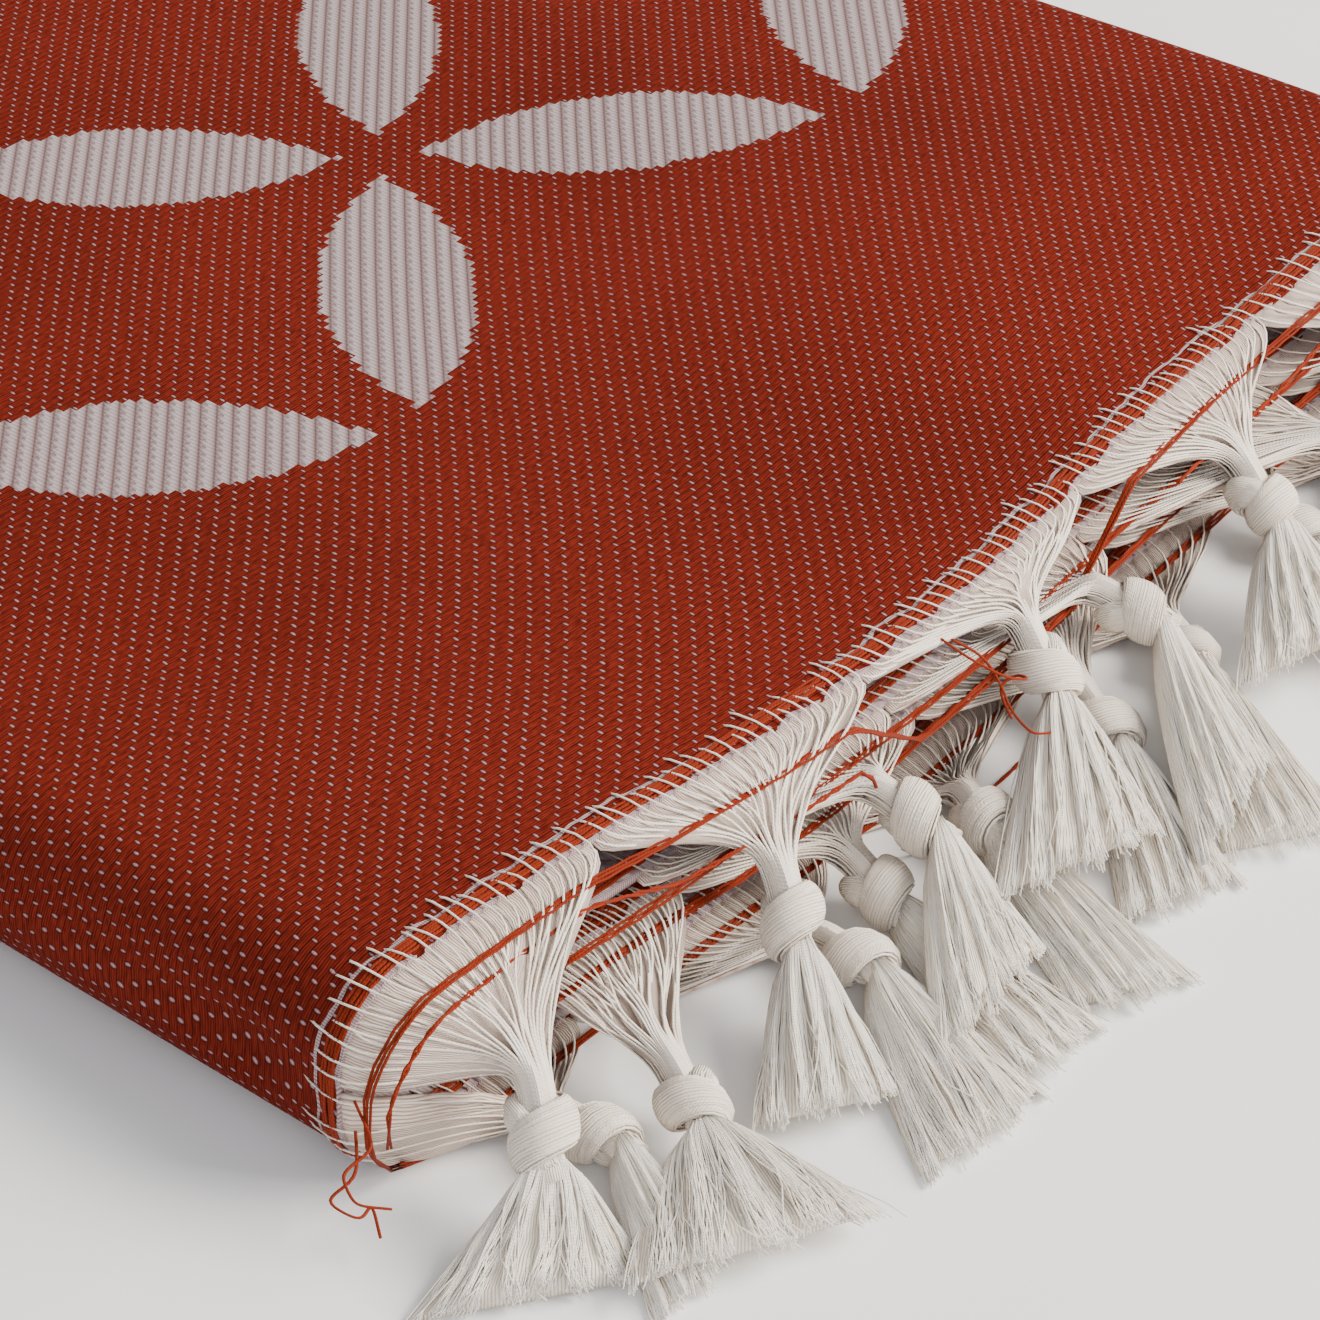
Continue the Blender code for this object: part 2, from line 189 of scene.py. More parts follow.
@dataclass(frozen=True)
class Ripple:
    """A wave over the upper layers: the sine of x times one pace plus y times another plus a phase."""

    x_pace: float
    y_pace: float
    phase: float
    share: float


RIPPLES = (Ripple(27.0, 12.0, 0.6, 1.0), Ripple(-11.0, 33.0, 1.9, 0.7))
DENTS = (
    #    x      z      length height depth
    Dent(0.281, 0.0125, 0.022, 0.0034, 0.0021),
    Dent(0.256, 0.0165, 0.034, 0.0030, 0.0011),
    Dent(0.215, 0.0090, 0.070, 0.0040, 0.0009),
)


class End(Enum):
    """The two fringed ends of the towel."""

    FRONT = 1
    BACK = -1


@dataclass(frozen=True)
class Hang:
    """Where one tassel hangs, in millimetres: out from the cloth's edge, along Y and up."""

    knot_out: float
    knot_y: float
    knot_z: float
    tip_out: float
    tip_y: float
    tip_z: float
    half_spread: float


@dataclass(frozen=True)
class Row:
    """How the tassels of one row hang, in millimetres from the cloth's edge and from the floor."""

    knot_out: float
    knot_z: float
    shift: float
    lean: float
    tip_out: float
    tip_z: float
    half_spread: float


# The front fringe, tassel by tassel, from the lowest layer's selvedge to the inner one.
FRONT_HANGS = (
    #    knot_out knot_y knot_z tip_out tip_y tip_z half_spread
    # lowest layer
    Hang(20.0, 66.0, 5.0, 53.0, 47.0, 1.2, 7.5),
    Hang(20.0, 15.0, 5.0, 53.0, -8.0, 1.2, 7.5),
    Hang(20.0, -32.0, 5.0, 54.0, -44.5, 1.2, 7.0),
    Hang(23.5, -64.5, 5.0, 54.0, -77.0, 1.2, 9.0),
    # near fold, below and above
    Hang(19.0, -109.0, 5.0, 42.5, -118.0, 1.2, 6.0),
    Hang(19.4, -119.0, 13.8, 28.5, -132.4, 1.5, 11.0),
    # top layer
    Hang(18.5, -71.0, 13.4, 38.0, -88.0, 3.8, 7.0),
    Hang(14.5, -12.0, 15.0, 38.5, -36.5, 8.5, 10.0),
    Hang(16.0, 39.0, 15.0, 37.0, 21.0, 8.0, 10.0),
    Hang(19.0, 81.6, 13.0, 41.0, 69.0, 8.0, 10.0),
    # far fold
    Hang(16.0, 115.5, 17.5, 45.0, 106.0, 6.0, 9.0),
    # upper inner layer
    Hang(22.0, 100.0, 13.2, 49.0, 83.0, 4.4, 10.0),
    Hang(22.0, 58.5, 13.2, 50.0, 41.0, 4.4, 9.0),
    Hang(16.0, 7.0, 14.5, 46.0, -12.0, 6.0, 10.0),
    Hang(18.5, -46.0, 13.6, 43.0, -61.5, 5.4, 10.0),
    # inner fold
    Hang(25.5, -99.5, 7.2, 46.5, -111.5, 4.6, 12.5),
    # lower inner layer
    Hang(18.2, -52.0, 5.3, 52.5, -59.5, 1.2, 7.0),
    Hang(21.0, -6.0, 5.0, 48.0, -26.5, 1.2, 7.5),
    Hang(17.0, 48.0, 5.0, 51.0, 27.0, 1.2, 7.5),
    Hang(17.0, 94.0, 6.0, 50.0, 73.0, 1.2, 7.5),
)
BACK_ROWS = {
    #                 knot_out knot_z shift  lean   tip_out tip_z half_spread
    "lowest": Row(20.0, 5.0, 4.0, -9.0, 55.0, 1.2, 9.0),
    "near_low": Row(19.0, 5.0, -16.0, -7.0, 53.0, 1.2, 8.0),
    "near_top": Row(17.0, 13.5, -13.0, -8.0, 46.0, 4.2, 9.0),
    "top": Row(13.0, 17.0, -4.0, -8.0, 46.0, 7.4, 11.0),
    "far": Row(17.0, 15.5, 4.0, -4.0, 48.0, 7.4, 9.0),
    "upper_inner": Row(21.0, 12.5, 8.0, -9.0, 53.0, 4.2, 10.0),
    "inner_fold": Row(21.0, 7.8, -1.0, -9.0, 54.0, 1.2, 8.0),
    "lower_inner": Row(18.0, 7.8, -10.0, -9.0, 55.0, 1.2, 8.0),
}
FRONT_FAN_OFFSETS = {8: 5.0, 9: 8.0, 10: 1.0}


# --- Small numeric helpers --------------------------------------------------------------------


def smooth_step(value: np.ndarray) -> np.ndarray:
    """0 below 0, 1 above 1 and 3t^2 - 2t^3 between them."""
    t = np.clip(value, 0.0, 1.0)
    return t * t * (3 - 2 * t)


def unit(vectors: np.ndarray) -> np.ndarray:
    """The vectors of the last axis, each divided by its length."""
    return vectors / np.maximum(np.linalg.norm(vectors, axis=-1, keepdims=True), 1e-12)


def relax(paths: np.ndarray, passes: int) -> np.ndarray:
    """Rounds the corners of paths: each inner point moves to a quarter, half, quarter mean.

    Args:
        paths: points, with the places along a path on the axis before the last.
        passes: how often that is done.

    Returns:
        The rounded paths, with the same ends.
    """
    for _ in range(passes):
        inner = 0.25 * paths[..., :-2, :] + 0.5 * paths[..., 1:-1, :] + 0.25 * paths[..., 2:, :]
        paths = np.concatenate([paths[..., :1, :], inner, paths[..., -1:, :]], axis=-2)
    return paths


def run_lengths(paths: np.ndarray) -> np.ndarray:
    """The length along each path up to each of its points."""
    steps = np.linalg.norm(np.diff(paths, axis=-2), axis=-1)
    return np.concatenate([np.zeros(steps.shape[:-1] + (1,)), np.cumsum(steps, axis=-1)], axis=-1)


def off_floor(points: np.ndarray, least: float) -> np.ndarray:
    """The points, with none lower than the least height.

    Args:
        points: in any grid.
        least: the height.

    Returns:
        The points, raised where they have to be.
    """
    points = points.copy()
    points[..., 2] = np.maximum(points[..., 2], least)
    return points


# --- Meshes from arrays -----------------------------------------------------------------------


@dataclass
class Patch:
    """A closed surface: points, faces, each corner's UV in metres, each face's finish, each point's tint."""

    points: np.ndarray
    faces: list
    uv: list
    finish: list
    tint: np.ndarray


def closed_patch(points: np.ndarray, uv: np.ndarray, groups: list, tint: float = 0.5) -> Patch:
    """A patch whose corners take the UV of their points.

    Args:
        points: the points, in any grid.
        uv: their coordinates in metres, in the same grid.
        groups: (faces, finish's index) pairs; each group's faces have one number of corners.
        tint: one value for the whole patch.

    Returns:
        The patch.
    """
    points, uv = points.reshape(-1, 3), uv.reshape(-1, 2)
    faces = [group for group, _ in groups]
    finish = [np.full(len(group), index) for group, index in groups]
    return Patch(points, faces, [uv[group] for group in faces], finish, np.full(len(points), tint))


def thin_sheet(middle: np.ndarray, uv: np.ndarray, thickness: float, face: int, reverse: int) -> Patch:
    """A closed thin sheet about a grid of points.

    Each side is the grid moved half the thickness along its normal, which is the cross product of
    the grid's two central differences; a rim joins the sides.

    Args:
        middle: points, rows by columns by 3.
        uv: the grid's own coordinates in metres, rows by columns by 2.
        thickness: of the sheet.
        face: the finish of the side that the normal points to, and of the rim.
        reverse: the finish of the other side.

    Returns:
        The sheet.
    """
    rows, columns = middle.shape[:2]
    normal = unit(np.cross(np.gradient(middle, axis=1), np.gradient(middle, axis=0)))
    points = np.stack([middle + normal * thickness / 2, middle - normal * thickness / 2])
    upper = np.arange(rows * columns).reshape(rows, columns)
    lower = upper + rows * columns
    quads = np.stack([upper[:-1, :-1], upper[:-1, 1:], upper[1:, 1:], upper[1:, :-1]], axis=-1)
    quads = quads.reshape(-1, 4)
    around = np.concatenate([upper[0, :-1], upper[:-1, -1], upper[-1, :0:-1], upper[:0:-1, 0]])
    after = np.roll(around, -1)
    drop = rows * columns
    rim = np.stack([around, around + drop, after + drop, after], axis=-1)
    shell = [(np.concatenate([quads, rim]), face), (quads[:, ::-1] + lower[0, 0], reverse)]
    return closed_patch(points, np.stack([uv, uv]), shell)


def ring_body(rings: np.ndarray, uv: np.ndarray, finish: int, tint: float) -> Patch:
    """A closed body through rings of points, with a flat fan of faces over each end.

    Args:
        rings: points, rings by corners by 3, turning clockwise as seen from ahead.
        uv: their coordinates in metres, rings by corners by 2.
        finish: the finish's index.
        tint: one value for the body.

    Returns:
        The body.
    """
    count, corners = rings.shape[:2]
    number = np.arange(count * corners).reshape(count, corners)
    after = np.roll(number, -1, axis=1)
    quads = np.stack([number[:-1], number[1:], after[1:], after[:-1]], axis=-1).reshape(-1, 4)
    hubs = count * corners + np.arange(2)
    first = np.stack([number[0], after[0], np.full(corners, hubs[0])], axis=-1)
    last = np.stack([after[-1], number[-1], np.full(corners, hubs[1])], axis=-1)
    ends = [0, -1]
    points = np.concatenate([rings.reshape(-1, 3), rings[ends].mean(axis=1)])
    flat = np.concatenate([uv.reshape(-1, 2), uv[ends].mean(axis=1)])
    return closed_patch(points, flat, [(quads, finish), (np.concatenate([first, last]), finish)], tint)


def tubes(
    paths: np.ndarray, upright: np.ndarray, radius: np.ndarray, sides: int, tint: np.ndarray, finish: int = 0
) -> Patch:
    """Closed tubes along many paths at once.

    A ring's point is the path's point plus the radius times (cos a N + sin a B), where N is the
    upright direction made square to the path and B completes the frame. Both ends are capped. The
    UV is once round the tube, and metres along it.

    Args:
        paths: tubes by places by 3.
        upright: a direction not along the path, of the same shape or broadcast to it.
        radius: at each place, broadcast to tubes by places.
        sides: corners of a ring, 3 or 4.
        tint: one value for each tube.
        finish: the finish's index.

    Returns:
        One patch with all the tubes.
    """
    count, places = paths.shape[:2]
    along = unit(np.gradient(paths, axis=1))
    across = np.broadcast_to(upright, paths.shape)
    normal = unit(across - along * np.sum(across * along, axis=-1, keepdims=True))
    beside = np.cross(along, normal)
    turn = np.arange(sides)[None, None, :, None] * 2 * math.pi / sides
    spoke = normal[:, :, None] * np.cos(turn) + beside[:, :, None] * np.sin(turn)
    wide = np.broadcast_to(radius, (count, places))[:, :, None, None]
    points = (paths[:, :, None] + spoke * wide).reshape(-1, 3)
    number = np.arange(count * places * sides).reshape(count, places, sides)
    after = np.roll(number, -1, axis=2)
    quads = np.stack([number[:, :-1], after[:, :-1], after[:, 1:], number[:, 1:]], axis=-1)
    far = np.broadcast_to(run_lengths(paths)[:, :, None], number.shape)
    side = np.broadcast_to(np.arange(sides) / sides, number.shape)
    here, there = np.stack([side, far], axis=-1), np.stack([side + 1 / sides, far], axis=-1)
    wall_uv = np.stack([here[:, :-1], there[:, :-1], there[:, 1:], here[:, 1:]], axis=-2)
    caps = np.concatenate([number[:, 0, ::-1], number[:, -1]])
    faces = [quads.reshape(-1, 4), caps]
    uv = [wall_uv.reshape(-1, 4, 2), here.reshape(-1, 2)[caps]]
    finishes = [np.full(len(group), finish) for group in faces]
    return Patch(points, faces, uv, finishes, np.repeat(tint, places * sides))


@dataclass
class MeshMaker:
    """Collects patches and makes one mesh object of them."""

    name: str
    patches: list = field(default_factory=list)

    def build(self, finishes: list, slot: str, replaced: tuple = ()) -> bpy.types.Object:
        """Makes the object, with its UV map, its tint attribute and its finishes, riding on the root.

        Args:
            finishes: the materials, in the order of the patches' indices.
            slot: the record's material slot; not used.
            replaced: the CAD nodes that it stands for.

        Returns:
            The object, at the origin and unturned.
        """
        faces: list = []
        start = 0
        for patch in self.patches:
            for group in patch.faces:
                faces.extend((group + start).tolist())
            start += len(patch.points)
        mesh = bpy.data.meshes.new(self.name)
        mesh.from_pydata(np.concatenate([patch.points for patch in self.patches]).tolist(), [], faces)
        uv = np.concatenate([group.reshape(-1, 2) for patch in self.patches for group in patch.uv])
        mesh.uv_layers.new(name="cloth_m").data.foreach_set("uv", uv.astype(np.float32).ravel())
        tint = np.concatenate([patch.tint for patch in self.patches]).astype(np.float32)
        mesh.attributes.new("yarn_tint", "FLOAT", "POINT").data.foreach_set("value", tint)
        index = np.concatenate([group for patch in self.patches for group in patch.finish])
        for finish in finishes:
            mesh.materials.append(finish)
        mesh.polygons.foreach_set("material_index", index.astype(np.int32))
        mesh.shade_smooth()
        mesh.update()
        made = bpy.data.objects.new(self.name, mesh)
        bpy.context.scene.collection.objects.link(made)
        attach(made, "root")
        if replaced:
            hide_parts(*replaced)
        mesh.calc_loop_triangles()
        LOG.info("%s: %d triangles", self.name, len(mesh.loop_triangles))
        return made


# --- The folded cloth -------------------------------------------------------------------------


@dataclass(frozen=True)
class FoldedStack:
    """The towel's two folds as formulas: from a place on the flat cloth to its place in the stack."""

    size: TowelSize = TowelSize()
    shift: tuple = (0.0, 0.0, 0.0)

    def runs(self, depth: np.ndarray) -> dict:
        """The seven runs of the section at each depth: where they start and end, and their lengths.

        The panels' heights are counted in pitches: 0 and 11 for the outermost layers of the lowest
        and the top panel, 6 and 5 for those of the upper and the lower inner panel.

        Args:
            depth: how far each layer lies inside the outermost one.

        Returns:
            Arrays of depths by runs named y0, y1, z0, z1, length and reached, and the bulges.
        """
        size = self.size
        depth = np.atleast_1d(depth)[:, None]
        flat = np.zeros_like(depth)
        near, far = -size.half_folded + flat, size.half_folded + flat
        inner = near + size.inner_setback
        lowest, lower = size.base + depth, size.base + 5 * size.pitch - depth
        upper, top = size.base + 6 * size.pitch + depth, size.base + 11 * size.pitch - depth
        near_turn, far_turn = math.pi * (top - lowest) / 2, math.pi * (top - upper) / 2
        inner_turn = math.pi * (upper - lower) / 2
        # All layers have come as far as the outermost one in the middle of the far fold: that
        # one turns 5.5 pitches about the near fold, and half of 2.5 pitches up to there.
        before = size.first_run + math.pi * (5.5 + 2.5 / 2) * size.pitch
        first = before - far_turn / 2 - near_turn
        last = size.width - before - (far - near) - far_turn / 2 - (far - inner) - inner_turn
        length = np.hstack([first, near_turn, far - near, far_turn, far - inner, inner_turn, last])
        return {
            "y0": np.hstack([near + first, near, near, far, far, inner, inner]),
            "y1": np.hstack([near, near, far, far, inner, inner, inner + last]),
            "z0": np.hstack([lowest, lowest, top, top, upper, upper, lower]),
            "z1": np.hstack([lowest, top, top, upper, upper, lower, lower]),
            "length": length,
            "reached": np.cumsum(length, axis=1),
            "bulge": np.array([0, -1, 0, 1, 0, -1, 0]),
        }

    def on_section(self, runs: dict, rows: np.ndarray, run: np.ndarray, share: np.ndarray) -> tuple:
        """A place on the section: straight on a panel, half a circle on a fold.

        Args:
            runs: the section's runs, as runs() gives them.
            rows: which depth of them.
            run: which run.
            share: of that run's length.

        Returns:
            y and z.
        """
        y0, y1 = runs["y0"][rows, run], runs["y1"][rows, run]
        z0, z1 = runs["z0"][rows, run], runs["z1"][rows, run]
        bulge = runs["bulge"][run]
        turn = math.pi * (share - 0.5)
        y = np.where(bulge == 0, y0 + (y1 - y0) * share, y0 + bulge * abs(z1 - z0) / 2 * np.cos(turn))
        z = np.where(bulge == 0, z0, (z0 + z1) / 2 + (z1 - z0) / 2 * np.sin(turn))
        return y, z

    def locate(self, across: np.ndarray, depth: float) -> tuple:
        """Finds places across the cloth on the section.

        Args:
            across: distances from the first selvedge.
            depth: how far the layer lies inside the outermost one.

        Returns:
            The run that each place falls in, and the share along that run.
        """
        runs = self.runs(np.array([depth]))
        run = np.minimum(np.searchsorted(runs["reached"][0], across), 6)
        start = runs["reached"][0][run] - runs["length"][0][run]
        return run, np.clip((across - start) / runs["length"][0][run], 0.0, 1.0)

    def uneven(self, x: np.ndarray, y: np.ndarray, z: np.ndarray) -> np.ndarray:
        """The stack's unevenness, as the solids have it, and the listed creases on top of it.

        The front edge bows out in a bell about one place; the near side sags; the middle layers
        part at the front; two crossing sines ripple the upper layers; the creases grow with the
        square of the height, and the dents press on what lies beyond the near panels' end.

        Args:
            x: places along the warp in the ideal stack.
            y: places along the weft.
            z: heights.

        Returns:
            Where those points really lie, in the shared frame.
        """
        size = self.size
        height = np.clip((z - size.base) / (11 * size.pitch), 0.0, 1.0)
        front = smooth_step((x - size.front_edge_x + size.bow_reach) / size.bow_reach)
        front = front * (size.lowest_bow + (1 - size.lowest_bow) * height)
        bell = np.exp(-(((y - size.edge_bulge_y) / size.edge_bulge_spread) ** 2))
        slack = smooth_step((size.front_edge_x - size.sag_start - x) / size.sag_run)
        slack = slack * smooth_step((size.hollow_y - y) / size.sag_side_run)
        sag = size.near_sag * slack * smooth_step((z - size.base - 2 * size.pitch) / (7 * size.pitch))
        held = smooth_step((x - size.front_edge_x + size.mouth_reach) / size.mouth_run)
        mouth = size.mouth_opening * held * smooth_step((z - size.base - 5 * size.pitch) / size.pitch)
        waves = sum(wave.share * np.sin(x * wave.x_pace + y * wave.y_pace + wave.phase) for wave in RIPPLES)
        soft = sum(crease.bell(x, y) * height**2 for crease in CREASES)
        rise = size.ripple * height * waves + soft + mouth - sag
        beyond = smooth_step((-size.half_folded - y) / size.dent_run)
        pressed = sum(dent.bell(x, z) * beyond for dent in DENTS)
        moved = np.stack([x + size.edge_bulge * front * bell, y + pressed, z + rise], axis=-1)
        return moved + np.array(self.shift)

    def lengthwise(self, along: np.ndarray) -> tuple:
        """The lengthwise fold: three straight runs and two half turns between them.

        Args:
            along: distances along the cloth from the front edge.

        Returns:
            x, and the depth inside the outermost layer.
        """
        size = self.size
        radius = size.pitch / 2
        turn = math.pi * radius
        first = size.front_edge_x - size.back_fold_x
        second = size.front_fold_x - size.back_fold_x
        ends = np.cumsum([first, turn, second, turn])
        back, front = (along - ends[0]) / radius, (along - ends[2]) / radius
        level = 0 * along
        cases = [along <= end for end in ends]
        x_runs = [
            size.front_edge_x - along,
            size.back_fold_x - radius * np.sin(back),
            size.back_fold_x + along - ends[1],
            size.front_fold_x + radius * np.sin(front),
        ]
        depth_runs = [
            level,
            radius * (1 - np.cos(back)),
            level + size.pitch,
            size.pitch + radius * (1 - np.cos(front)),
        ]
        x = np.select(cases, x_runs, size.front_fold_x - (along - ends[3]))
        return x, np.select(cases, depth_runs, size.deepest)

    def edge_point(self, end: End, across: np.ndarray, out: np.ndarray) -> np.ndarray:
        """Points of the cloth's plane at one of its ends.

        Args:
            end: which end.
            across: distances from the first selvedge.
            out: how far out from the edge they lie or, below 0, inside it.

        Returns:
            The points.
        """
        size = self.size
        depth = 0.0 if end is End.FRONT else size.deepest
        edge = size.front_edge_x if end is End.FRONT else size.back_edge_x
        run, share = self.locate(across, depth)
        y, z = self.on_section(self.runs(np.array([depth])), np.zeros_like(run), run, share)
        return self.uneven(edge + end.value * (out + 0 * y), y, z)

    def seen_side(self, end: End, across: np.ndarray) -> np.ndarray:
        """The direction square to the cloth at an edge, on the side that is seen: up, or outwards.

        It is the cross product of X and the edge's own direction, from points a little to each side.

        Args:
            end: which end.
            across: distances from the first selvedge.

        Returns:
            A unit vector for each.
        """
        step = 0.0006
        along = self.edge_point(end, across + step, 0.0) - self.edge_point(end, across - step, 0.0)
        normal = unit(np.stack([0 * along[..., 0], -along[..., 2], along[..., 1]], axis=-1))
        return normal * np.where(normal[..., 2:] < -0.75, -1.0, 1.0)


@dataclass
class Cloth:
    """The towel's cloth: one sheet of woven cotton, whose ends stop where the loose warp begins."""

    stack: FoldedStack
    edge_setback: float = 0.0012
    panel_steps: tuple = (20, 24, 46, 14, 20, 8, 20)  # columns in each run of the section
    edge_run: float = 0.030  # from the front edge, with closer rows

    def columns(self) -> tuple:
        """The grid's columns over the section.

        Returns:
            The run of each column, and its share along that run.
        """
        runs = [np.full(steps, run) for run, steps in enumerate(self.panel_steps)] + [np.array([6])]
        shares = [np.arange(steps) / steps for steps in self.panel_steps] + [np.array([1.0])]
        return np.concatenate(runs), np.concatenate(shares)

    def rows(self) -> np.ndarray:
        """The grid's rows, closer together at the front edge and in the folds.

        Returns:
            Their distances along the cloth.
        """
        size = self.stack.size
        turn = math.pi * size.pitch / 2
        first = size.front_edge_x - size.back_fold_x
        second = first + turn + size.front_fold_x - size.back_fold_x
        pieces = [
            np.linspace(self.edge_setback, self.edge_run, 10)[:-1],
            np.linspace(self.edge_run, first, 62)[:-1],
            np.linspace(first, first + turn, 9)[:-1],
            np.linspace(first + turn, second, 28)[:-1],
            np.linspace(second, second + turn, 9)[:-1],
            np.linspace(second + turn, size.length - self.edge_setback, 30),
        ]
        return np.concatenate(pieces)

    def build(self, finishes: list) -> bpy.types.Object:
        """The whole cloth: each grid point is carried through the lengthwise and the crosswise fold.

        Args:
            finishes: the face's and the reverse's material.

        Returns:
            The object.
        """
        along = self.rows()
        run, share = self.columns()
        x, depth = self.stack.lengthwise(along)
        runs = self.stack.runs(depth)
        shape = (len(along), len(run))
        row = np.broadcast_to(np.arange(len(along))[:, None], shape)
        y, z = self.stack.on_section(runs, row, np.broadcast_to(run, shape), np.broadcast_to(share, shape))
        across = (runs["reached"] - runs["length"])[:, run] + runs["length"][:, run] * share
        middle = self.stack.uneven(np.broadcast_to(x[:, None], shape), y, z)
        uv = np.stack([across, np.broadcast_to(along[:, None], shape)], axis=-1)
        size = self.stack.size
        sheet = thin_sheet(middle, uv, size.thickness, face=0, reverse=1)
        made = MeshMaker("towel_woven_cloth", [sheet]).build(finishes, "woven_cotton", ("towel_cloth",))
        return made


# --- The fringe -------------------------------------------------------------------------------


FLOOR_GAP = 0.0001  # under a thread that lies on the floor
BODY_FLOOR_GAP = 0.0002  # under a tassel's closed bodies, which its threads hide
BODY_TINT = 0.4


class Thread(IntEnum):
    """The finishes of a tassel, numbered in the order of its materials."""

    YARN = 0
    FIBRES = 1
    STRAND = 2
    VEIL = 3


@dataclass(frozen=True)
class Fullness:
    """How many yarns and strands a tassel shows, and how finely they are made."""

    yarns: int
    strands: int
    fan_places: int
    knot_places: int
    skirt_places: int


CLOSE_UP = Fullness(yarns=46, strands=360, fan_places=12, knot_places=32, skirt_places=9)
PLAIN = Fullness(yarns=26, strands=110, fan_places=9, knot_places=22, skirt_places=8)
# The tassels of the front fringe that the photograph shows best.
CLOSE_UP_NUMBERS = (2, 3, 4, 5, 6, 7, 8, 12, 13, 14, 15, 16, 17, 18)


@dataclass(frozen=True)
class KnotKey:
    """A place on the bundle's way through its overhand knot, in millimetres and turns."""

    way: float  # 0 where the bundle comes in, 1 where it leaves
    along: float
    reach: float  # out from the knot's axis
    turn: float  # after the start of the band


KNOT_KEYS = (
    #       way  along reach turn
    KnotKey(0.00, -6.4, 0.0, 0.00),
    KnotKey(0.12, -1.0, 0.0, 0.00),
    KnotKey(0.22, 2.4, 1.9, 0.04),
    KnotKey(0.32, 2.9, 3.3, 0.16),
    KnotKey(0.54, 0.1, 3.4, 0.62),
    KnotKey(0.76, -2.8, 3.3, 1.10),
    KnotKey(0.86, -1.4, 1.8, 1.22),
    KnotKey(0.94, 2.8, 0.3, 1.26),
    KnotKey(1.00, 6.6, 0.0, 1.26),
)


@dataclass(frozen=True)
class YarnLay:
    """How the yarns run from the cloth through the fan and the knot; pairs are least and most."""

    radius: float = 0.00023
    radii: tuple = (0.72, 0.88, 0.76)  # of that, at the cloth, at the fan's end and in the skirt
    outermost: float = 0.985  # place of the outermost yarns in the fan
    off_even: float = 0.4  # of the spacing, how far a yarn lies from its even place
    loop_every: int = 2  # one yarn in so many comes up through the cloth and loops over the wefts
    loop_starts: tuple = (0.0044, 0.0088)  # inside the edge
    under_start: float = 0.0024  # the same, of the yarns that come straight out of the edge
    loop_keys: tuple = ((1.0, 0.0001), (0.8, 0.0013), (0.35, 0.0013))  # shares of the start, heights
    askew: float = 0.0009  # how far along the edge a loop's start may lie from its yarn
    over_lift: float = 0.0008  # of the yarns that loop over the loose wefts
    under_lift: float = -0.0003  # and of the others
    sink: float = 1.9  # the power of the share by which a fan drops
    even_pace: float = 0.15  # of the way along the edge that goes evenly
    eased_pace: float = 0.85  # and of the rest, which goes by a smoothstep
    bunch: int = 4  # neighbours that wave together
    own_wave: float = 0.6  # radians between them
    wave: float = 0.0008  # to each side
    half_waves: float = 2.2  # in a fan
    band: float = 0.38  # by how much of its radius the bundle widens to a band in the knot
    flattening: float = 0.28  # and by how much it thins there
    spin: tuple = (0.2, 0.6)  # radians that the yarns turn about the bundle
    size: tuple = (0.94, 1.06)  # of the knot
    turned: float = 0.14  # turns by which the band's start differs
    tail: tuple = (0.16, 0.34)  # shares of the skirt that the yarns' ends reach


@dataclass(frozen=True)
class SkirtShape:
    """How a skirt spreads and swells."""

    ahead: float = 0.0040  # from the knot's middle to the skirt's start
    root_below: float = 0.0020  # from the knot's middle down to the underside
    tip_below: float = 0.0010  # the same, at the tip
    floor_tip: float = 0.0015  # a skirt whose tip lies lower than this rests on the floor
    floor_fluff: float = 1.28  # times the solid's half width
    upper_fluff: float = 1.36
    widening: float = 0.65  # the power of the share by which it widens
    rounding: float = 2.4  # the power of the place by which its back falls to the sides
    loft_shares: tuple = (0.0, 0.15, 0.45, 0.80, 1.0)
    lofts: tuple = (0.0039, 0.0047, 0.0050, 0.0040, 0.0027)  # its height at those shares
    lock_swell: float = 0.16  # of the height, over the middle of a lock
    body_shares: tuple = (0.02, 0.90)  # where the closed body starts and stops
    body_fill: float = 0.93  # of the height
    finish_length: float = 0.035  # of the fibres' finish, from the knot to the tip


@dataclass(frozen=True)
class StrandLay:
    """How the strands lie over a skirt; shares are of its half width or its length."""

    radius: float = 0.00012
    cut_by_lock: float = 0.030  # how much longer or shorter a lock is cut
    cut_by_strand: tuple = (-0.025, 0.02)  # and a single strand
    cut_round: float = 0.08  # how much sooner the sides end than the middle
    strays: float = 0.05  # the share of strands that stray
    stray: float = 0.6  # how far across they may end
    lock_sway: float = 0.05  # that the strands of a lock share
    own_sway: float = 0.03  # and that each has for itself
    to_lock: float = 0.30  # how far a strand is drawn to the middle of its lock
    widest: float = 1.05
    on_top: float = 0.7  # the share of strands on the skirt's surface
    lift: float = 0.0004  # at most, above it
    stray_lift: float = 0.0006  # the same, for a strand that strays right across
    ripple: float = 0.0002
    lock_tint: float = 0.22  # that the strands of a lock share
    own_tint: float = 0.28


@dataclass(frozen=True)
class Bundle:
    """The bundle in its knot: its middle line, the frame that it carries and its half axes there."""

    middle: np.ndarray
    outward: np.ndarray
    beside: np.ndarray
    wide: np.ndarray
    thick: np.ndarray


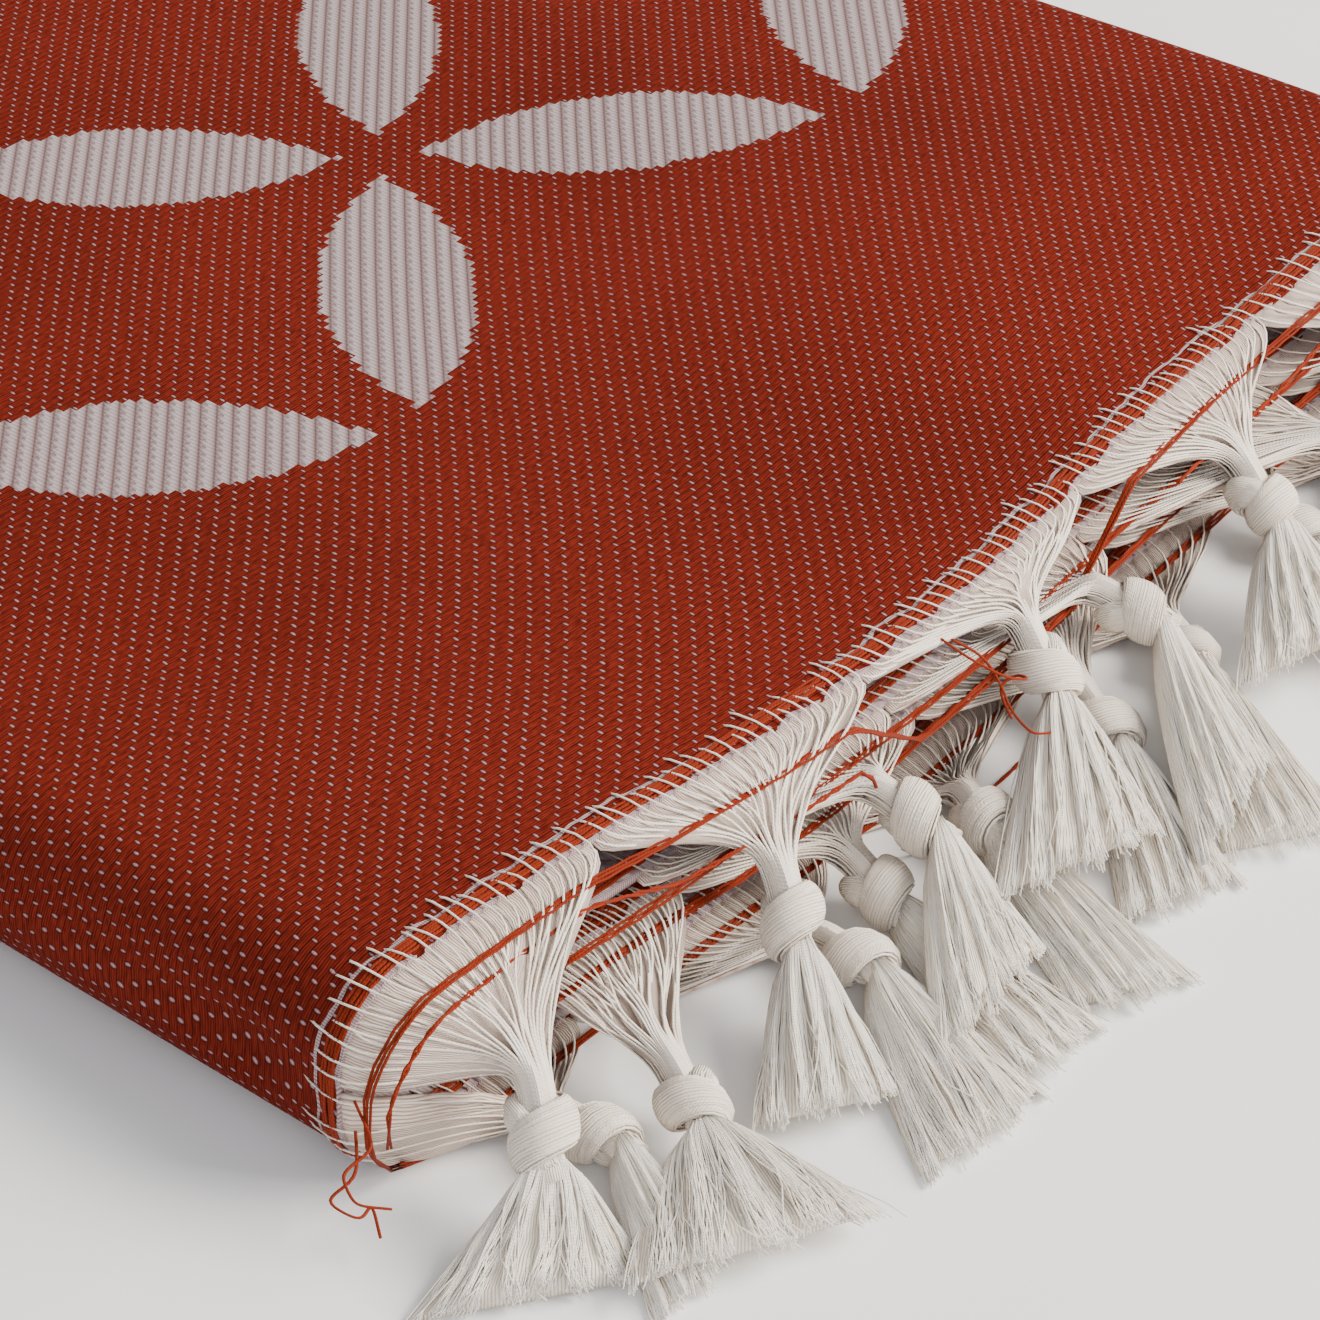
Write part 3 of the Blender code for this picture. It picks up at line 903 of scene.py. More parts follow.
@dataclass
class Tassel:
    """One hand-knotted tassel: its fan of warp yarns, an overhand knot and a loose skirt."""

    stack: FoldedStack
    end: End
    number: int
    lay: YarnLay = YarnLay()
    skirt: SkirtShape = SkirtShape()
    strands: StrandLay = StrandLay()
    fan_gap: float = 0.0006
    bundle_radius: float = 0.0021
    neck_behind: float = 0.0064  # from the knot's middle back to the fan's end
    tight_turn: float = 0.025  # a fold shorter than this round its outside has no fan
    veil_lift: float = -0.0006  # above the middle of the cloth
    veil_start: float = 0.0022  # inside the edge
    veil_thickness: float = 0.0004
    half_fan: float = 0.0235  # half the width of cloth that a fan's finish is laid over

    def __post_init__(self) -> None:
        """Works out where the fan, the knot and the skirt's tip lie, as the solid has them."""
        self.front = self.end is End.FRONT
        self.fullness = CLOSE_UP if self.front and self.number in CLOSE_UP_NUMBERS else PLAIN
        self.depth = 0.0 if self.front else self.stack.size.deepest
        self.low, self.high = self.fan_range()
        hang = FRONT_HANGS[self.number] if self.front else self.back_hang()
        edge = self.stack.size.front_edge_x if self.front else self.stack.size.back_edge_x
        shift, out = np.array(self.stack.shift), self.end.value
        self.knot = np.array([edge + out * hang.knot_out * MM, hang.knot_y * MM, hang.knot_z * MM]) + shift
        self.tip = np.array([edge + out * hang.tip_out * MM, hang.tip_y * MM, hang.tip_z * MM]) + shift
        self.half_spread = hang.half_spread * MM
        start, chord = self.root(np.array([0.0]))[0], np.diff(self.root(np.array([-1.0, 1.0])), axis=0)[0]
        self.axis = unit(unit(self.knot - start) + unit(self.tip - self.knot))
        side = unit(np.array([-self.axis[1], self.axis[0], 0.0]))
        self.side = side * np.sign(side[1] * chord[1])
        up = np.cross(self.axis, self.side)
        self.up = up * np.sign(up[2])
        self.noise = np.random.default_rng(1000 * self.front + self.number)
        self.locks = 5 + self.number % 3
        self.lock_phase = self.noise.uniform(0, 2)

    def fan_range(self) -> tuple:
        """From where to where the yarns are gathered: its pitch, short of a tight fold.

        Returns:
            The two distances across the cloth.
        """
        pitch = self.stack.size.width / self.stack.size.tassels_per_end
        offsets = FRONT_FAN_OFFSETS if self.front else {}
        low = self.number * pitch + offsets.get(self.number, 0.0) * MM + self.fan_gap / 2
        high = (self.number + 1) * pitch + offsets.get(self.number + 1, 0.0) * MM - self.fan_gap / 2
        runs = self.stack.runs(np.array([self.depth]))
        for length, reached, bulge in zip(runs["length"][0], runs["reached"][0], runs["bulge"]):
            start = reached - length
            if bulge and length < self.tight_turn and low < reached and high > start:
                if start - low > high - reached:
                    high = start
                else:
                    low = reached
        return low, high

    def back_hang(self) -> Hang:
        """Where a tassel of the back fringe hangs: its row's place, and a little by chance.

        Returns:
            The place, as the front ones have theirs in a table.
        """
        middle = np.array([(self.low + self.high) / 2])
        row = BACK_ROWS[self.row_name(float(middle[0]))]
        chance = random.Random(self.number)
        edge_y = (self.stack.edge_point(self.end, middle, 0.0)[0, 1] - self.stack.shift[1]) / MM
        knot_y = edge_y + row.shift + chance.uniform(-0.8, 0.8)
        tip_out = row.tip_out + chance.uniform(-2.5, 2.5)
        tip_y = knot_y + row.lean + chance.uniform(-0.9, 0.9)
        return Hang(row.knot_out, knot_y, row.knot_z, tip_out, tip_y, row.tip_z, row.half_spread)

    def row_name(self, across: float) -> str:
        """The row that a tassel belongs to: its run of the section, or the fold that it lies close to.

        Args:
            across: where the middle of its fan lies across the cloth.

        Returns:
            A name of BACK_ROWS.
        """
        names = ("lowest", "near_fold", "top", "far_fold", "upper_inner", "inner_fold", "lower_inner")
        runs, shares = self.stack.locate(np.array([across]), self.depth)
        run, share = int(runs[0]), float(shares[0])
        length = self.stack.runs(np.array([self.depth]))["length"][0][run]
        along, left = share * length, (1 - share) * length
        if names[run] == "near_fold":
            return "near_low" if share < 0.5 else "near_top"
        close_by = (
            ("lowest", left, 0.035, "near_low"),
            ("top", along, 0.025, "near_top"),
            ("top", left, 0.014, "far"),
            ("lower_inner", along, 0.030, "inner_fold"),
        )
        for name, distance, limit, row in close_by:
            if names[run] == name and distance < limit:
                return row
        return names[run]

    def across(self, place: np.ndarray) -> np.ndarray:
        """Distances across the cloth of places in the fan, -1 to 1."""
        return self.low + (self.high - self.low) * (place + 1) / 2

    def root(self, place: np.ndarray) -> np.ndarray:
        """Points of the cloth's edge, at places in the fan from -1 to 1."""
        return self.stack.edge_point(self.end, self.across(place), 0.0)

    def drop(self, out: float) -> float:
        """How far the fan's middle has sunk at a distance out from the edge."""
        start, neck = self.root(np.array([0.0]))[0], self.knot - self.axis * self.neck_behind
        return float((neck[2] - start[2]) * (max(out, 0.0) / abs(neck[0] - start[0])) ** self.lay.sink)

    def fan(self, place: np.ndarray, share: np.ndarray, neck: np.ndarray, lift: np.ndarray) -> np.ndarray:
        """The gathered warp between the cloth's edge and the knot.

        A yarn leaves the edge square to it and level, then is drawn in: outwards it moves evenly,
        along the edge by a mean of the share and its smoothstep, and down by a power of the share.

        Args:
            place: each yarn's place in the fan, -1 to 1.
            share: the places along the fan, 0 at the edge and 1 at the knot.
            neck: where each yarn enters the knot.
            lift: how far each yarn starts above the middle of the cloth.

        Returns:
            Points, yarns by places by 3.
        """
        root = self.root(place) + self.stack.seen_side(self.end, self.across(place)) * lift[:, None]
        drawn_in = self.lay.even_pace * share + self.lay.eased_pace * smooth_step(share)
        pace = np.stack([share, drawn_in, share**self.lay.sink], axis=-1)
        return root[:, None] + (neck - root)[:, None] * pace[None]

    def bundle(self) -> Bundle:
        """The bundle on its way through the overhand knot.

        It runs in along the axis, turns outwards past the knot's middle, lies once round itself as
        a slanting band, dives under that band and comes out along the axis. Between the keys the
        values are straight, and the line is then rounded. Its section is an ellipse, which widens
        to a flat band in the middle by the square of a sine.

        Returns:
            The bundle.
        """
        lay = self.lay
        way = np.linspace(0.0, 1.0, self.fullness.knot_places)
        keys = [key.way for key in KNOT_KEYS]
        along = np.interp(way, keys, [key.along for key in KNOT_KEYS])
        reach = np.interp(way, keys, [key.reach for key in KNOT_KEYS]) * self.noise.uniform(*lay.size)
        hand = 1 if self.noise.random() < 0.5 else -1
        begin = 0.5 + self.noise.uniform(-lay.turned, lay.turned)
        turn = np.interp(way, keys, [key.turn for key in KNOT_KEYS]) * hand + begin
        turn[way < 0.15] = 0.5
        angle = 2 * math.pi * turn[:, None]
        outward = np.cos(angle) * self.up + np.sin(angle) * self.side
        middle = self.knot + along[:, None] * self.axis * MM + reach[:, None] * MM * outward
        middle = relax(middle, 2)
        ahead = unit(np.gradient(middle, axis=0))
        outward = unit(outward - ahead * np.sum(outward * ahead, axis=-1, keepdims=True))
        flat = np.sin(math.pi * np.linspace(0.0, 1.0, len(middle))) ** 2
        wide = (1 + lay.band * flat) * self.bundle_radius
        thick = (1 - lay.flattening * flat) * self.bundle_radius
        return Bundle(middle, outward, np.cross(ahead, outward), wide, thick)

    def knotted(self, bundle: Bundle, place: np.ndarray) -> np.ndarray:
        """The yarns' lines on the bundle.

        A yarn lies beside the middle line by its place p in the fan, and above or below it by
        sqrt(1 - p^2), and that pair turns slowly on the way.

        Args:
            bundle: the bundle in its knot.
            place: each yarn's place in the fan.

        Returns:
            Points, yarns by places by 3.
        """
        level = np.sqrt(np.maximum(0.02, 1 - place**2)) * np.where(np.arange(len(place)) % 2, 1, -1)
        spin = np.linspace(0.0, 1.0, len(bundle.middle))[None, :] * self.noise.uniform(*self.lay.spin)
        first, second = np.sign(bundle.beside[0] @ self.side) * place[:, None], level[:, None]
        aside = ((first * np.cos(spin) - second * np.sin(spin)) * bundle.wide)[..., None]
        above = ((first * np.sin(spin) + second * np.cos(spin)) * bundle.thick)[..., None]
        return bundle.middle[None] + bundle.beside[None] * aside + bundle.outward[None] * above

    def gathered(self, place: np.ndarray, neck: np.ndarray, over: np.ndarray) -> np.ndarray:
        """The yarns' lines through the fan, each with its own wave, which fades at both ends.

        Args:
            place: each yarn's place in the fan.
            neck: where each yarn enters the knot.
            over: which yarns loop over the loose wefts.

        Returns:
            Points, yarns by places by 3.
        """
        lay, noise, count = self.lay, self.noise, len(place)
        share = np.linspace(0.0, 1.0, self.fullness.fan_places)
        fan = self.fan(place, share, neck, np.where(over, lay.over_lift, lay.under_lift))
        bunch = noise.uniform(0, 6.3, count // lay.bunch + 2)[np.arange(count) // lay.bunch]
        own = bunch + noise.uniform(-lay.own_wave, lay.own_wave, count)
        wave = lay.wave * np.sin(math.pi * lay.half_waves * share[None] + own[:, None])
        return fan + self.side * (wave * np.sin(math.pi * share))[..., None]

    def woven(self, place: np.ndarray, over: np.ndarray) -> np.ndarray:
        """The yarns' starts: the loops come up through the cloth, the others out of its edge.

        Args:
            place: each yarn's place in the fan.
            over: which yarns loop over the loose wefts.

        Returns:
            Points, yarns by 3 places by 3.
        """
        lay, count, across = self.lay, len(place), self.across(place)
        start = np.where(over, self.noise.uniform(*lay.loop_starts, count), lay.under_start)
        askew = self.noise.uniform(-lay.askew, lay.askew, count)
        seen = self.stack.seen_side(self.end, across) * over[:, None]
        points = [
            self.stack.edge_point(self.end, across + askew * part, -start * part) + seen * height
            for part, height in lay.loop_keys
        ]
        return np.stack(points, axis=1)

    def tails(self, bundle: Bundle, knotted: np.ndarray) -> np.ndarray:
        """The yarns' ends over the skirt, each beside the middle as it leaves the knot.

        Args:
            bundle: the bundle in its knot.
            knotted: the yarns' lines on it.

        Returns:
            Points, yarns by 4 places by 3.
        """
        leaving = (knotted[:, -1] - bundle.middle[-1]) @ self.side / self.bundle_radius
        reach = self.noise.uniform(*self.lay.tail, len(knotted))
        share = np.linspace(0.10, 1.0, 4)[None, :] * reach[:, None]
        place = np.clip(leaving, -0.95, 0.95)[:, None]
        return self.skirt_surface(share, np.broadcast_to(place, share.shape))

    def yarn_patches(self) -> list:
        """The yarns from the cloth's edge into the skirt, the bundle's body, and the veil.

        Returns:
            The three patches.
        """
        lay, full, noise = self.lay, self.fullness, self.noise
        bundle = self.bundle()
        even = np.linspace(-lay.outermost, lay.outermost, full.yarns)
        place = even + noise.uniform(-lay.off_even, lay.off_even, full.yarns) / full.yarns
        over = np.arange(full.yarns) % lay.loop_every == 1
        knotted = self.knotted(bundle, place)
        fan = self.gathered(place, knotted[:, 0], over)
        woven, tails = self.woven(place, over), self.tails(bundle, knotted)
        paths = relax(np.concatenate([woven, fan[:, :-1], knotted, tails], axis=1), 2)
        before, after = woven.shape[1] + full.fan_places - 1, tails.shape[1]
        lead, trail = np.tile(-self.up, (before, 1)), np.tile(bundle.outward[-1], (after, 1))
        upright = np.concatenate([lead, bundle.outward, trail])[None]
        ends = (0, before, paths.shape[1])
        radius = lay.radius * np.interp(np.arange(paths.shape[1]), ends, lay.radii)
        tint = noise.uniform(0, 1, full.yarns)
        paths = off_floor(paths, lay.radius + FLOOR_GAP)
        yarns = tubes(paths, upright, radius, sides=3, tint=tint, finish=Thread.YARN)
        return [yarns, self.bundle_body(bundle), self.veil(place, knotted[:, 0])]

    def bundle_body(self, bundle: Bundle) -> Patch:
        """The closed body inside the knot's yarns: the bundle's ellipse, less a yarn's radius.

        Args:
            bundle: the bundle in its knot.

        Returns:
            The body.
        """
        turn = np.linspace(0, 2 * math.pi, 12, endpoint=False)[None, ::-1, None]
        rings = (
            bundle.middle[:, None]
            + bundle.beside[:, None] * np.cos(turn) * (bundle.wide - self.lay.radius)[:, None, None]
            + bundle.outward[:, None] * np.sin(turn) * (bundle.thick - self.lay.radius)[:, None, None]
        )
        around = np.broadcast_to(turn[..., 0] * self.bundle_radius, rings.shape[:2])
        length = np.broadcast_to(run_lengths(bundle.middle)[:, None], rings.shape[:2])
        uv = np.stack([around, length], axis=-1)
        return ring_body(off_floor(rings, BODY_FLOOR_GAP), uv, finish=Thread.FIBRES, tint=BODY_TINT)

    def veil(self, place: np.ndarray, neck: np.ndarray) -> Patch:
        """The finer warp under the fan's yarns, as a thin sheet that follows them out of the cloth.

        Args:
            place: the yarns' places in the fan.
            neck: where they enter the knot.

        Returns:
            The sheet.
        """
        columns = np.linspace(-1, 1, 22)
        order = np.argsort(place)
        ends = np.stack([np.interp(columns, place[order], neck[order, axis]) for axis in range(3)], axis=-1)
        inside = self.stack.edge_point(self.end, self.across(columns), -self.veil_start)
        middle = self.fan(columns, np.linspace(0.0, 1.0, 9), ends, np.full(len(columns), self.veil_lift))
        middle = np.concatenate([inside[:, None], middle], axis=1)
        uv = np.stack(np.broadcast_arrays(columns[:, None] * self.half_fan, run_lengths(middle)), axis=-1)
        middle = off_floor(middle, self.veil_thickness)
        return thin_sheet(middle, uv, self.veil_thickness, face=Thread.VEIL, reverse=Thread.VEIL)

    def skirt_line(self, share: np.ndarray) -> np.ndarray:
        """The middle of the skirt's underside: outwards evenly, down as the square of what is left.

        Args:
            share: of the way from the knot to the tip.

        Returns:
            The points, in the array's own shape by 3.
        """
        start = self.knot + self.axis * self.skirt.ahead - np.array([0, 0, self.skirt.root_below])
        stop = self.tip - np.array([0, 0, self.skirt.tip_below])
        line = start + (stop - start) * share[..., None]
        line[..., 2] = stop[2] + (start[2] - stop[2]) * np.clip(1 - share, 0, 1) ** 2
        return line

    def skirt_surface(self, share: np.ndarray, place: np.ndarray, fill: float = 1.0) -> np.ndarray:
        """Points over the skirt.

        They lie out along its middle line, across by place times the half width, which grows with
        a power of the share, and up by the loft times 1 - |place| to a power, swelling over each
        lock.

        Args:
            share: of the way from the knot to the tip.
            place: -1 and 1 at the sides.
            fill: of the height, 0 at the underside.

        Returns:
            The points, in the arrays' own shape by 3.
        """
        shape, narrow = self.skirt, self.bundle_radius
        fluff = shape.floor_fluff if self.tip[2] < shape.floor_tip else shape.upper_fluff
        width = narrow + (self.half_spread * fluff - narrow) * np.clip(share, 0, 2) ** shape.widening
        loft = np.interp(share, shape.loft_shares, shape.lofts)
        lock = np.sin(math.pi * (self.locks * place + self.lock_phase))
        swell = 1 + shape.lock_swell * lock * smooth_step(share * 1.6)
        points = self.skirt_line(share) + self.side * (place * width)[..., None]
        points[..., 2] += loft * np.clip(1 - abs(place) ** shape.rounding, 0, 1) * swell * fill
        return points

    def skirt_body(self) -> Patch:
        """The skirt's closed body: rings over its surface and back along its flat underside.

        Returns:
            The body.
        """
        shares = np.linspace(*self.skirt.body_shares, 11)
        arch = np.sin(np.linspace(-math.pi / 2, math.pi / 2, 15))
        place = np.concatenate([arch, arch[-3:1:-2]])
        fill = np.concatenate([np.full(len(arch), self.skirt.body_fill), np.zeros(len(place) - len(arch))])
        share = np.broadcast_to(shares[:, None], (len(shares), len(place)))
        body = self.skirt_surface(share, np.broadcast_to(place, share.shape), fill)
        uv = np.stack([place * self.half_spread + 0 * share, share * self.skirt.finish_length], axis=-1)
        clockwise = np.cross(np.array([0, 0, 1.0]), self.tip - self.knot) @ self.side > 0
        if not clockwise:
            body, uv = body[:, ::-1], uv[:, ::-1]
        return ring_body(off_floor(body, BODY_FLOOR_GAP), uv, finish=Thread.FIBRES, tint=BODY_TINT)

    def skirt_strands(self) -> Patch:
        """The loose strands over the skirt's body.

        A strand keeps its place across the skirt, drawn a little to the middle of its lock, and
        lies on the skirt's surface or, at the cut end, inside it. One in twenty strays across.

        Returns:
            The strands.
        """
        lay, noise, count = self.strands, self.noise, self.fullness.strands
        home = noise.uniform(-1.0, 1.0, count)
        lock = np.floor((home * self.locks + self.lock_phase) / 2)
        centre = np.clip((2 * lock + 1 - self.lock_phase) / self.locks, -1, 1)
        uneven = lay.cut_by_lock * np.sin(lock * 2.4 + self.number) + noise.uniform(*lay.cut_by_strand, count)
        reach = 1.0 + uneven - lay.cut_round * home**2
        share = np.linspace(0.0, 1.0, self.fullness.skirt_places)[None, :] * reach[:, None]
        strays = noise.uniform(0, 1, count) < lay.strays
        stray = np.where(strays, noise.uniform(-lay.stray, lay.stray, count), 0.0)
        phase = noise.uniform(0, 6.3, count)[:, None]
        sway = lay.lock_sway * np.sin(2 * math.pi * 0.8 * share + 2.3 * lock[:, None] + self.number)
        sway = sway + lay.own_sway * np.sin(2 * math.pi * 1.9 * share + phase)
        drift = sway * share + stray[:, None] * share**1.5
        place = home[:, None] + (centre - home)[:, None] * lay.to_lock * smooth_step(share) + drift
        on_top = noise.uniform(0, 1, count) < lay.on_top
        fill = np.where(on_top, 1.0, noise.uniform(0.1, 1.0, count))[:, None]
        paths = self.skirt_surface(share, np.clip(place, -lay.widest, lay.widest), fill)
        lift = noise.uniform(0.0, lay.lift, count)[:, None] + lay.stray_lift * abs(stray)[:, None]
        paths[..., 2] += lift + lay.ripple * np.sin(2 * math.pi * 1.7 * share + 1.3 * phase) * share
        own_tint = noise.uniform(-lay.own_tint, lay.own_tint, count)
        tint = np.clip(0.5 + lay.lock_tint * np.sin(lock * 1.9 + self.number) + own_tint, 0, 1)
        paths = off_floor(paths, lay.radius + FLOOR_GAP)
        return tubes(paths, self.up, lay.radius, sides=3, tint=tint, finish=Thread.STRAND)

    def build(self, finishes: list) -> bpy.types.Object:
        """The whole tassel in one mesh.

        Args:
            finishes: the materials, in the order of Thread.

        Returns:
            The object.
        """
        name = f"tassel_{self.end.name.lower()}_{self.number + 1:02d}"
        patches = self.yarn_patches() + [self.skirt_body(), self.skirt_strands()]
        return MeshMaker(f"yarn_{name}", patches).build(finishes, "fringe_cotton", (name,))


@dataclass(frozen=True)
class Weft:
    """A band of loose weft threads at the woven edge."""

    out: float  # from the edge to the band's middle; below 0 it lies on the cloth
    lift: float  # above the middle of the cloth
    strands: int
    twist: float  # turns a metre
    start: float  # across the cloth
    stop: float


WEFTS = {
    End.FRONT: (
        #    out      lift    strands twist start  stop
        Weft(-0.0030, 0.0008, 5, 0.0, 0.001, 0.949),
        Weft(0.0034, 0.0003, 3, 0.0, 0.001, 0.949),
        Weft(0.0062, 0.0002, 2, 260.0, 0.236, 0.376),
        Weft(0.0070, 0.0002, 2, 260.0, 0.402, 0.486),
    ),
    End.BACK: (
        Weft(-0.0030, 0.0008, 4, 0.0, 0.001, 0.949),
        Weft(0.0034, 0.0003, 3, 0.0, 0.001, 0.949),
    ),
}


WEFT_SEEDS = {End.FRONT: 7, End.BACK: 8}


@dataclass
class LooseWefts:
    """The last weft threads of one end, loose in the warp: on the cloth's end and outside it."""

    stack: FoldedStack
    tassels: list
    end: End
    strand_radius: float = 0.00023
    spacing: float = 1.8  # of the strands side by side, in radii
    step: float = 0.0023  # from place to place along a strand
    own_wander: float = 0.00012
    held_part: float = 0.7  # of each half of a fan, over which a band keeps that fan's drop

    def line(self, out: float, across: np.ndarray) -> np.ndarray:
        """The middle line of a band, which lies on the fans and bridges the gaps between them.

        Each fan's drop at that distance holds over its middle part, and it is straight in between.

        Args:
            out: the distance out from the edge.
            across: distances across the cloth.

        Returns:
            The points.
        """
        held = np.array([-self.held_part, self.held_part])
        parts = np.concatenate([tassel.across(held) for tassel in self.tassels])
        drops = np.repeat([tassel.drop(out) for tassel in self.tassels], 2)
        line = self.stack.edge_point(self.end, across, out)
        line[:, 2] += np.interp(across, parts, drops)
        return line

    def patch(self, weft: Weft, noise: np.random.Generator) -> Patch:
        """One band: parallel strands that wander a little, or two twisted together.

        Args:
            weft: the band.
            noise: where its chances come from.

        Returns:
            The band's tubes.
        """
        across = np.linspace(weft.start, weft.stop, int((weft.stop - weft.start) / self.step))
        up = self.stack.seen_side(self.end, across)
        outwards = np.array([self.end.value, 0.0, 0.0])
        wander = 0.0004 * np.sin(across * 41 + weft.out * 900)
        wander = wander + 0.0003 * np.sin(across * 97 + weft.out * 500)
        middle = self.line(weft.out, across) + outwards * wander[:, None] + up * weft.lift
        paths = []
        for strand in range(weft.strands):
            if weft.twist:
                turn = 2 * math.pi * weft.twist * across + strand * math.pi
                aside, above = np.cos(turn) * self.strand_radius, np.sin(turn) * self.strand_radius
            else:
                aside = (strand - (weft.strands - 1) / 2) * self.strand_radius * self.spacing
                aside = aside + self.own_wander * np.sin(across * 160 + noise.uniform(0, 6.3))
                above = self.own_wander * np.sin(across * 1300 + noise.uniform(0, 6.3))
            paths.append(middle + outwards * aside[:, None] + up * above[:, None])
        path = off_floor(np.stack(paths), self.strand_radius + FLOOR_GAP)
        return tubes(path, up, self.strand_radius, sides=4, tint=noise.uniform(0, 1, len(path)))

    def build(self, finishes: list) -> bpy.types.Object:
        """All the bands of this end in one mesh.

        Args:
            finishes: the threads' material.

        Returns:
            The object.
        """
        noise = np.random.default_rng(WEFT_SEEDS[self.end])
        patches = [self.patch(weft, noise) for weft in WEFTS[self.end]]
        return MeshMaker(f"loose_wefts_{self.end.name.lower()}", patches).build(finishes, "woven_cotton")


@dataclass(frozen=True)
class FrayedEnd:
    """A frayed end of weft, as points in millimetres out, along Y and up from a place on the edge."""

    across: float
    points: tuple


FRAYED_ENDS = (
    FrayedEnd(
        across=0.347,
        points=((1, 0, -1), (5, 1, -3), (9, 4, -6), (10, 8, -8), (7, 9, -9), (6, 6, -10), (10, 4, -12)),
    ),
    FrayedEnd(
        across=0.349,
        points=((1, 0, -2), (4, 3, -5), (6, 4, -8), (10, 2, -11), (14, 1, -12), (15, 4, -13)),
    ),
    FrayedEnd(
        across=0.236,
        points=((1, 0, -1), (5, -4, -3), (3, -8, -5), (8, -7, -6), (6, -3, -7), (10, -6, -8)),
    ),
    FrayedEnd(
        across=0.238,
        points=((1, 0, -1), (6, -2, -4), (5, -7, -5), (9, -9, -6), (12, -6, -7)),
    ),
)


def frayed_ends(stack: FoldedStack, finishes: list, radius: float = 0.00022) -> bpy.types.Object:
    """The frayed ends, each a tube along its points, rounded by repeated averaging.

    Args:
        stack: the folded towel.
        finishes: the threads' material.
        radius: of a thread.

    Returns:
        The object.
    """
    places, upright, tint = 34, np.array([0.31, 0.17, 0.93]), np.array([0.5])
    patches = []
    for end in FRAYED_ENDS:
        start = stack.edge_point(End.FRONT, np.array([end.across]), 0.0)[0]
        keys = start + np.array(end.points) * MM
        where = np.linspace(0, len(keys) - 1, places)
        path = np.stack([np.interp(where, np.arange(len(keys)), keys[:, axis]) for axis in range(3)], axis=-1)
        path = off_floor(relax(path, 6), radius + FLOOR_GAP)
        patches.append(tubes(path[None], upright, radius, sides=4, tint=tint))
    return MeshMaker("frayed_weft_ends", patches).build(finishes, "woven_cotton")


# --- Finishes ---------------------------------------------------------------------------------

TIMES = {"operation": "MULTIPLY"}
PLUS = {"operation": "ADD"}
LESS = {"operation": "SUBTRACT"}
OVER = {"operation": "DIVIDE"}
POWER = {"operation": "POWER"}
TIMES_PLUS = {"operation": "MULTIPLY_ADD"}
MOST = {"operation": "MAXIMUM"}
DISTANCE = {"operation": "DISTANCE"}
SMOOTH = {"interpolation_type": "SMOOTHSTEP"}
COLOURS = {"data_type": "RGBA"}
NUMBERS = {"data_type": "FLOAT"}
FLAT = {"noise_dimensions": "2D"}


def linear(hex_colour: str) -> tuple:
    """An sRGB hex colour as linear RGBA."""
    parts = [int(hex_colour[i : i + 2], 16) / 255 for i in (1, 3, 5)]
    return (*[p / 12.92 if p <= 0.04045 else ((p + 0.055) / 1.055) ** 2.4 for p in parts], 1.0)


def add_node(
    tree: bpy.types.NodeTree, kind: str, *values: object, **settings: object
) -> bpy.types.NodeSocket:
    """Adds a node with its settings, and sets or links its inputs.

    Args:
        tree: the node tree.
        kind: the node's type, without its prefix.
        values: for each input in use, in order: a number or colour, a socket to link, or None.
        settings: attributes of the node.

    Returns:
        The node's first output in use.
    """
    node = tree.nodes.new("ShaderNode" + kind)
    for name, setting in settings.items():
        setattr(node, name, setting)
    sockets = [socket for socket in node.inputs if socket.enabled]
    for socket, value in zip(sockets, values):
        if isinstance(value, bpy.types.NodeSocket):
            tree.links.new(value, socket)
        elif value is not None:
            socket.default_value = value
    return next(socket for socket in node.outputs if socket.enabled)


def ridges(add: Callable, value: bpy.types.NodeSocket, power: float) -> bpy.types.NodeSocket:
    """A rounded ridge over each unit of a coordinate v: 1 - |2 fract(v) - 1|^power.

    Args:
        add: adds a node to the tree.
        value: the coordinate.
        power: the higher, the flatter the ridge's top.

    Returns:
        1 along the ridges' tops, 0 in the grooves.
    """
    half = add("Math", value, 0.5, operation="PINGPONG")
    valley = add("Math", half, -2.0, 1.0, **TIMES_PLUS)
    return add("Math", 1.0, add("Math", valley, power, **POWER), **LESS)


def new_material(name: str) -> tuple:
    """A new material with an empty shader.

    Args:
        name: what the material is called.

    Returns:
        The material, and the function that adds a node to its tree.
    """
    material = bpy.data.materials.new(name)
    material.use_nodes = True
    return material, partial(add_node, material.node_tree)


def dress(
    material: bpy.types.Material, colour: bpy.types.NodeSocket, bump: bpy.types.NodeSocket, numbers: dict
) -> None:
    """Links a material's colour and bump to its shader, and sets the shader's own numbers.

    Args:
        material: the material.
        colour: the base colour.
        bump: the normal.
        numbers: values by the name of the shader's socket.
    """
    shader = material.node_tree.nodes["Principled BSDF"]
    material.node_tree.links.new(colour, shader.inputs["Base Color"])
    material.node_tree.links.new(bump, shader.inputs["Normal"])
    for name, number in numbers.items():
        shader.inputs[name].default_value = number


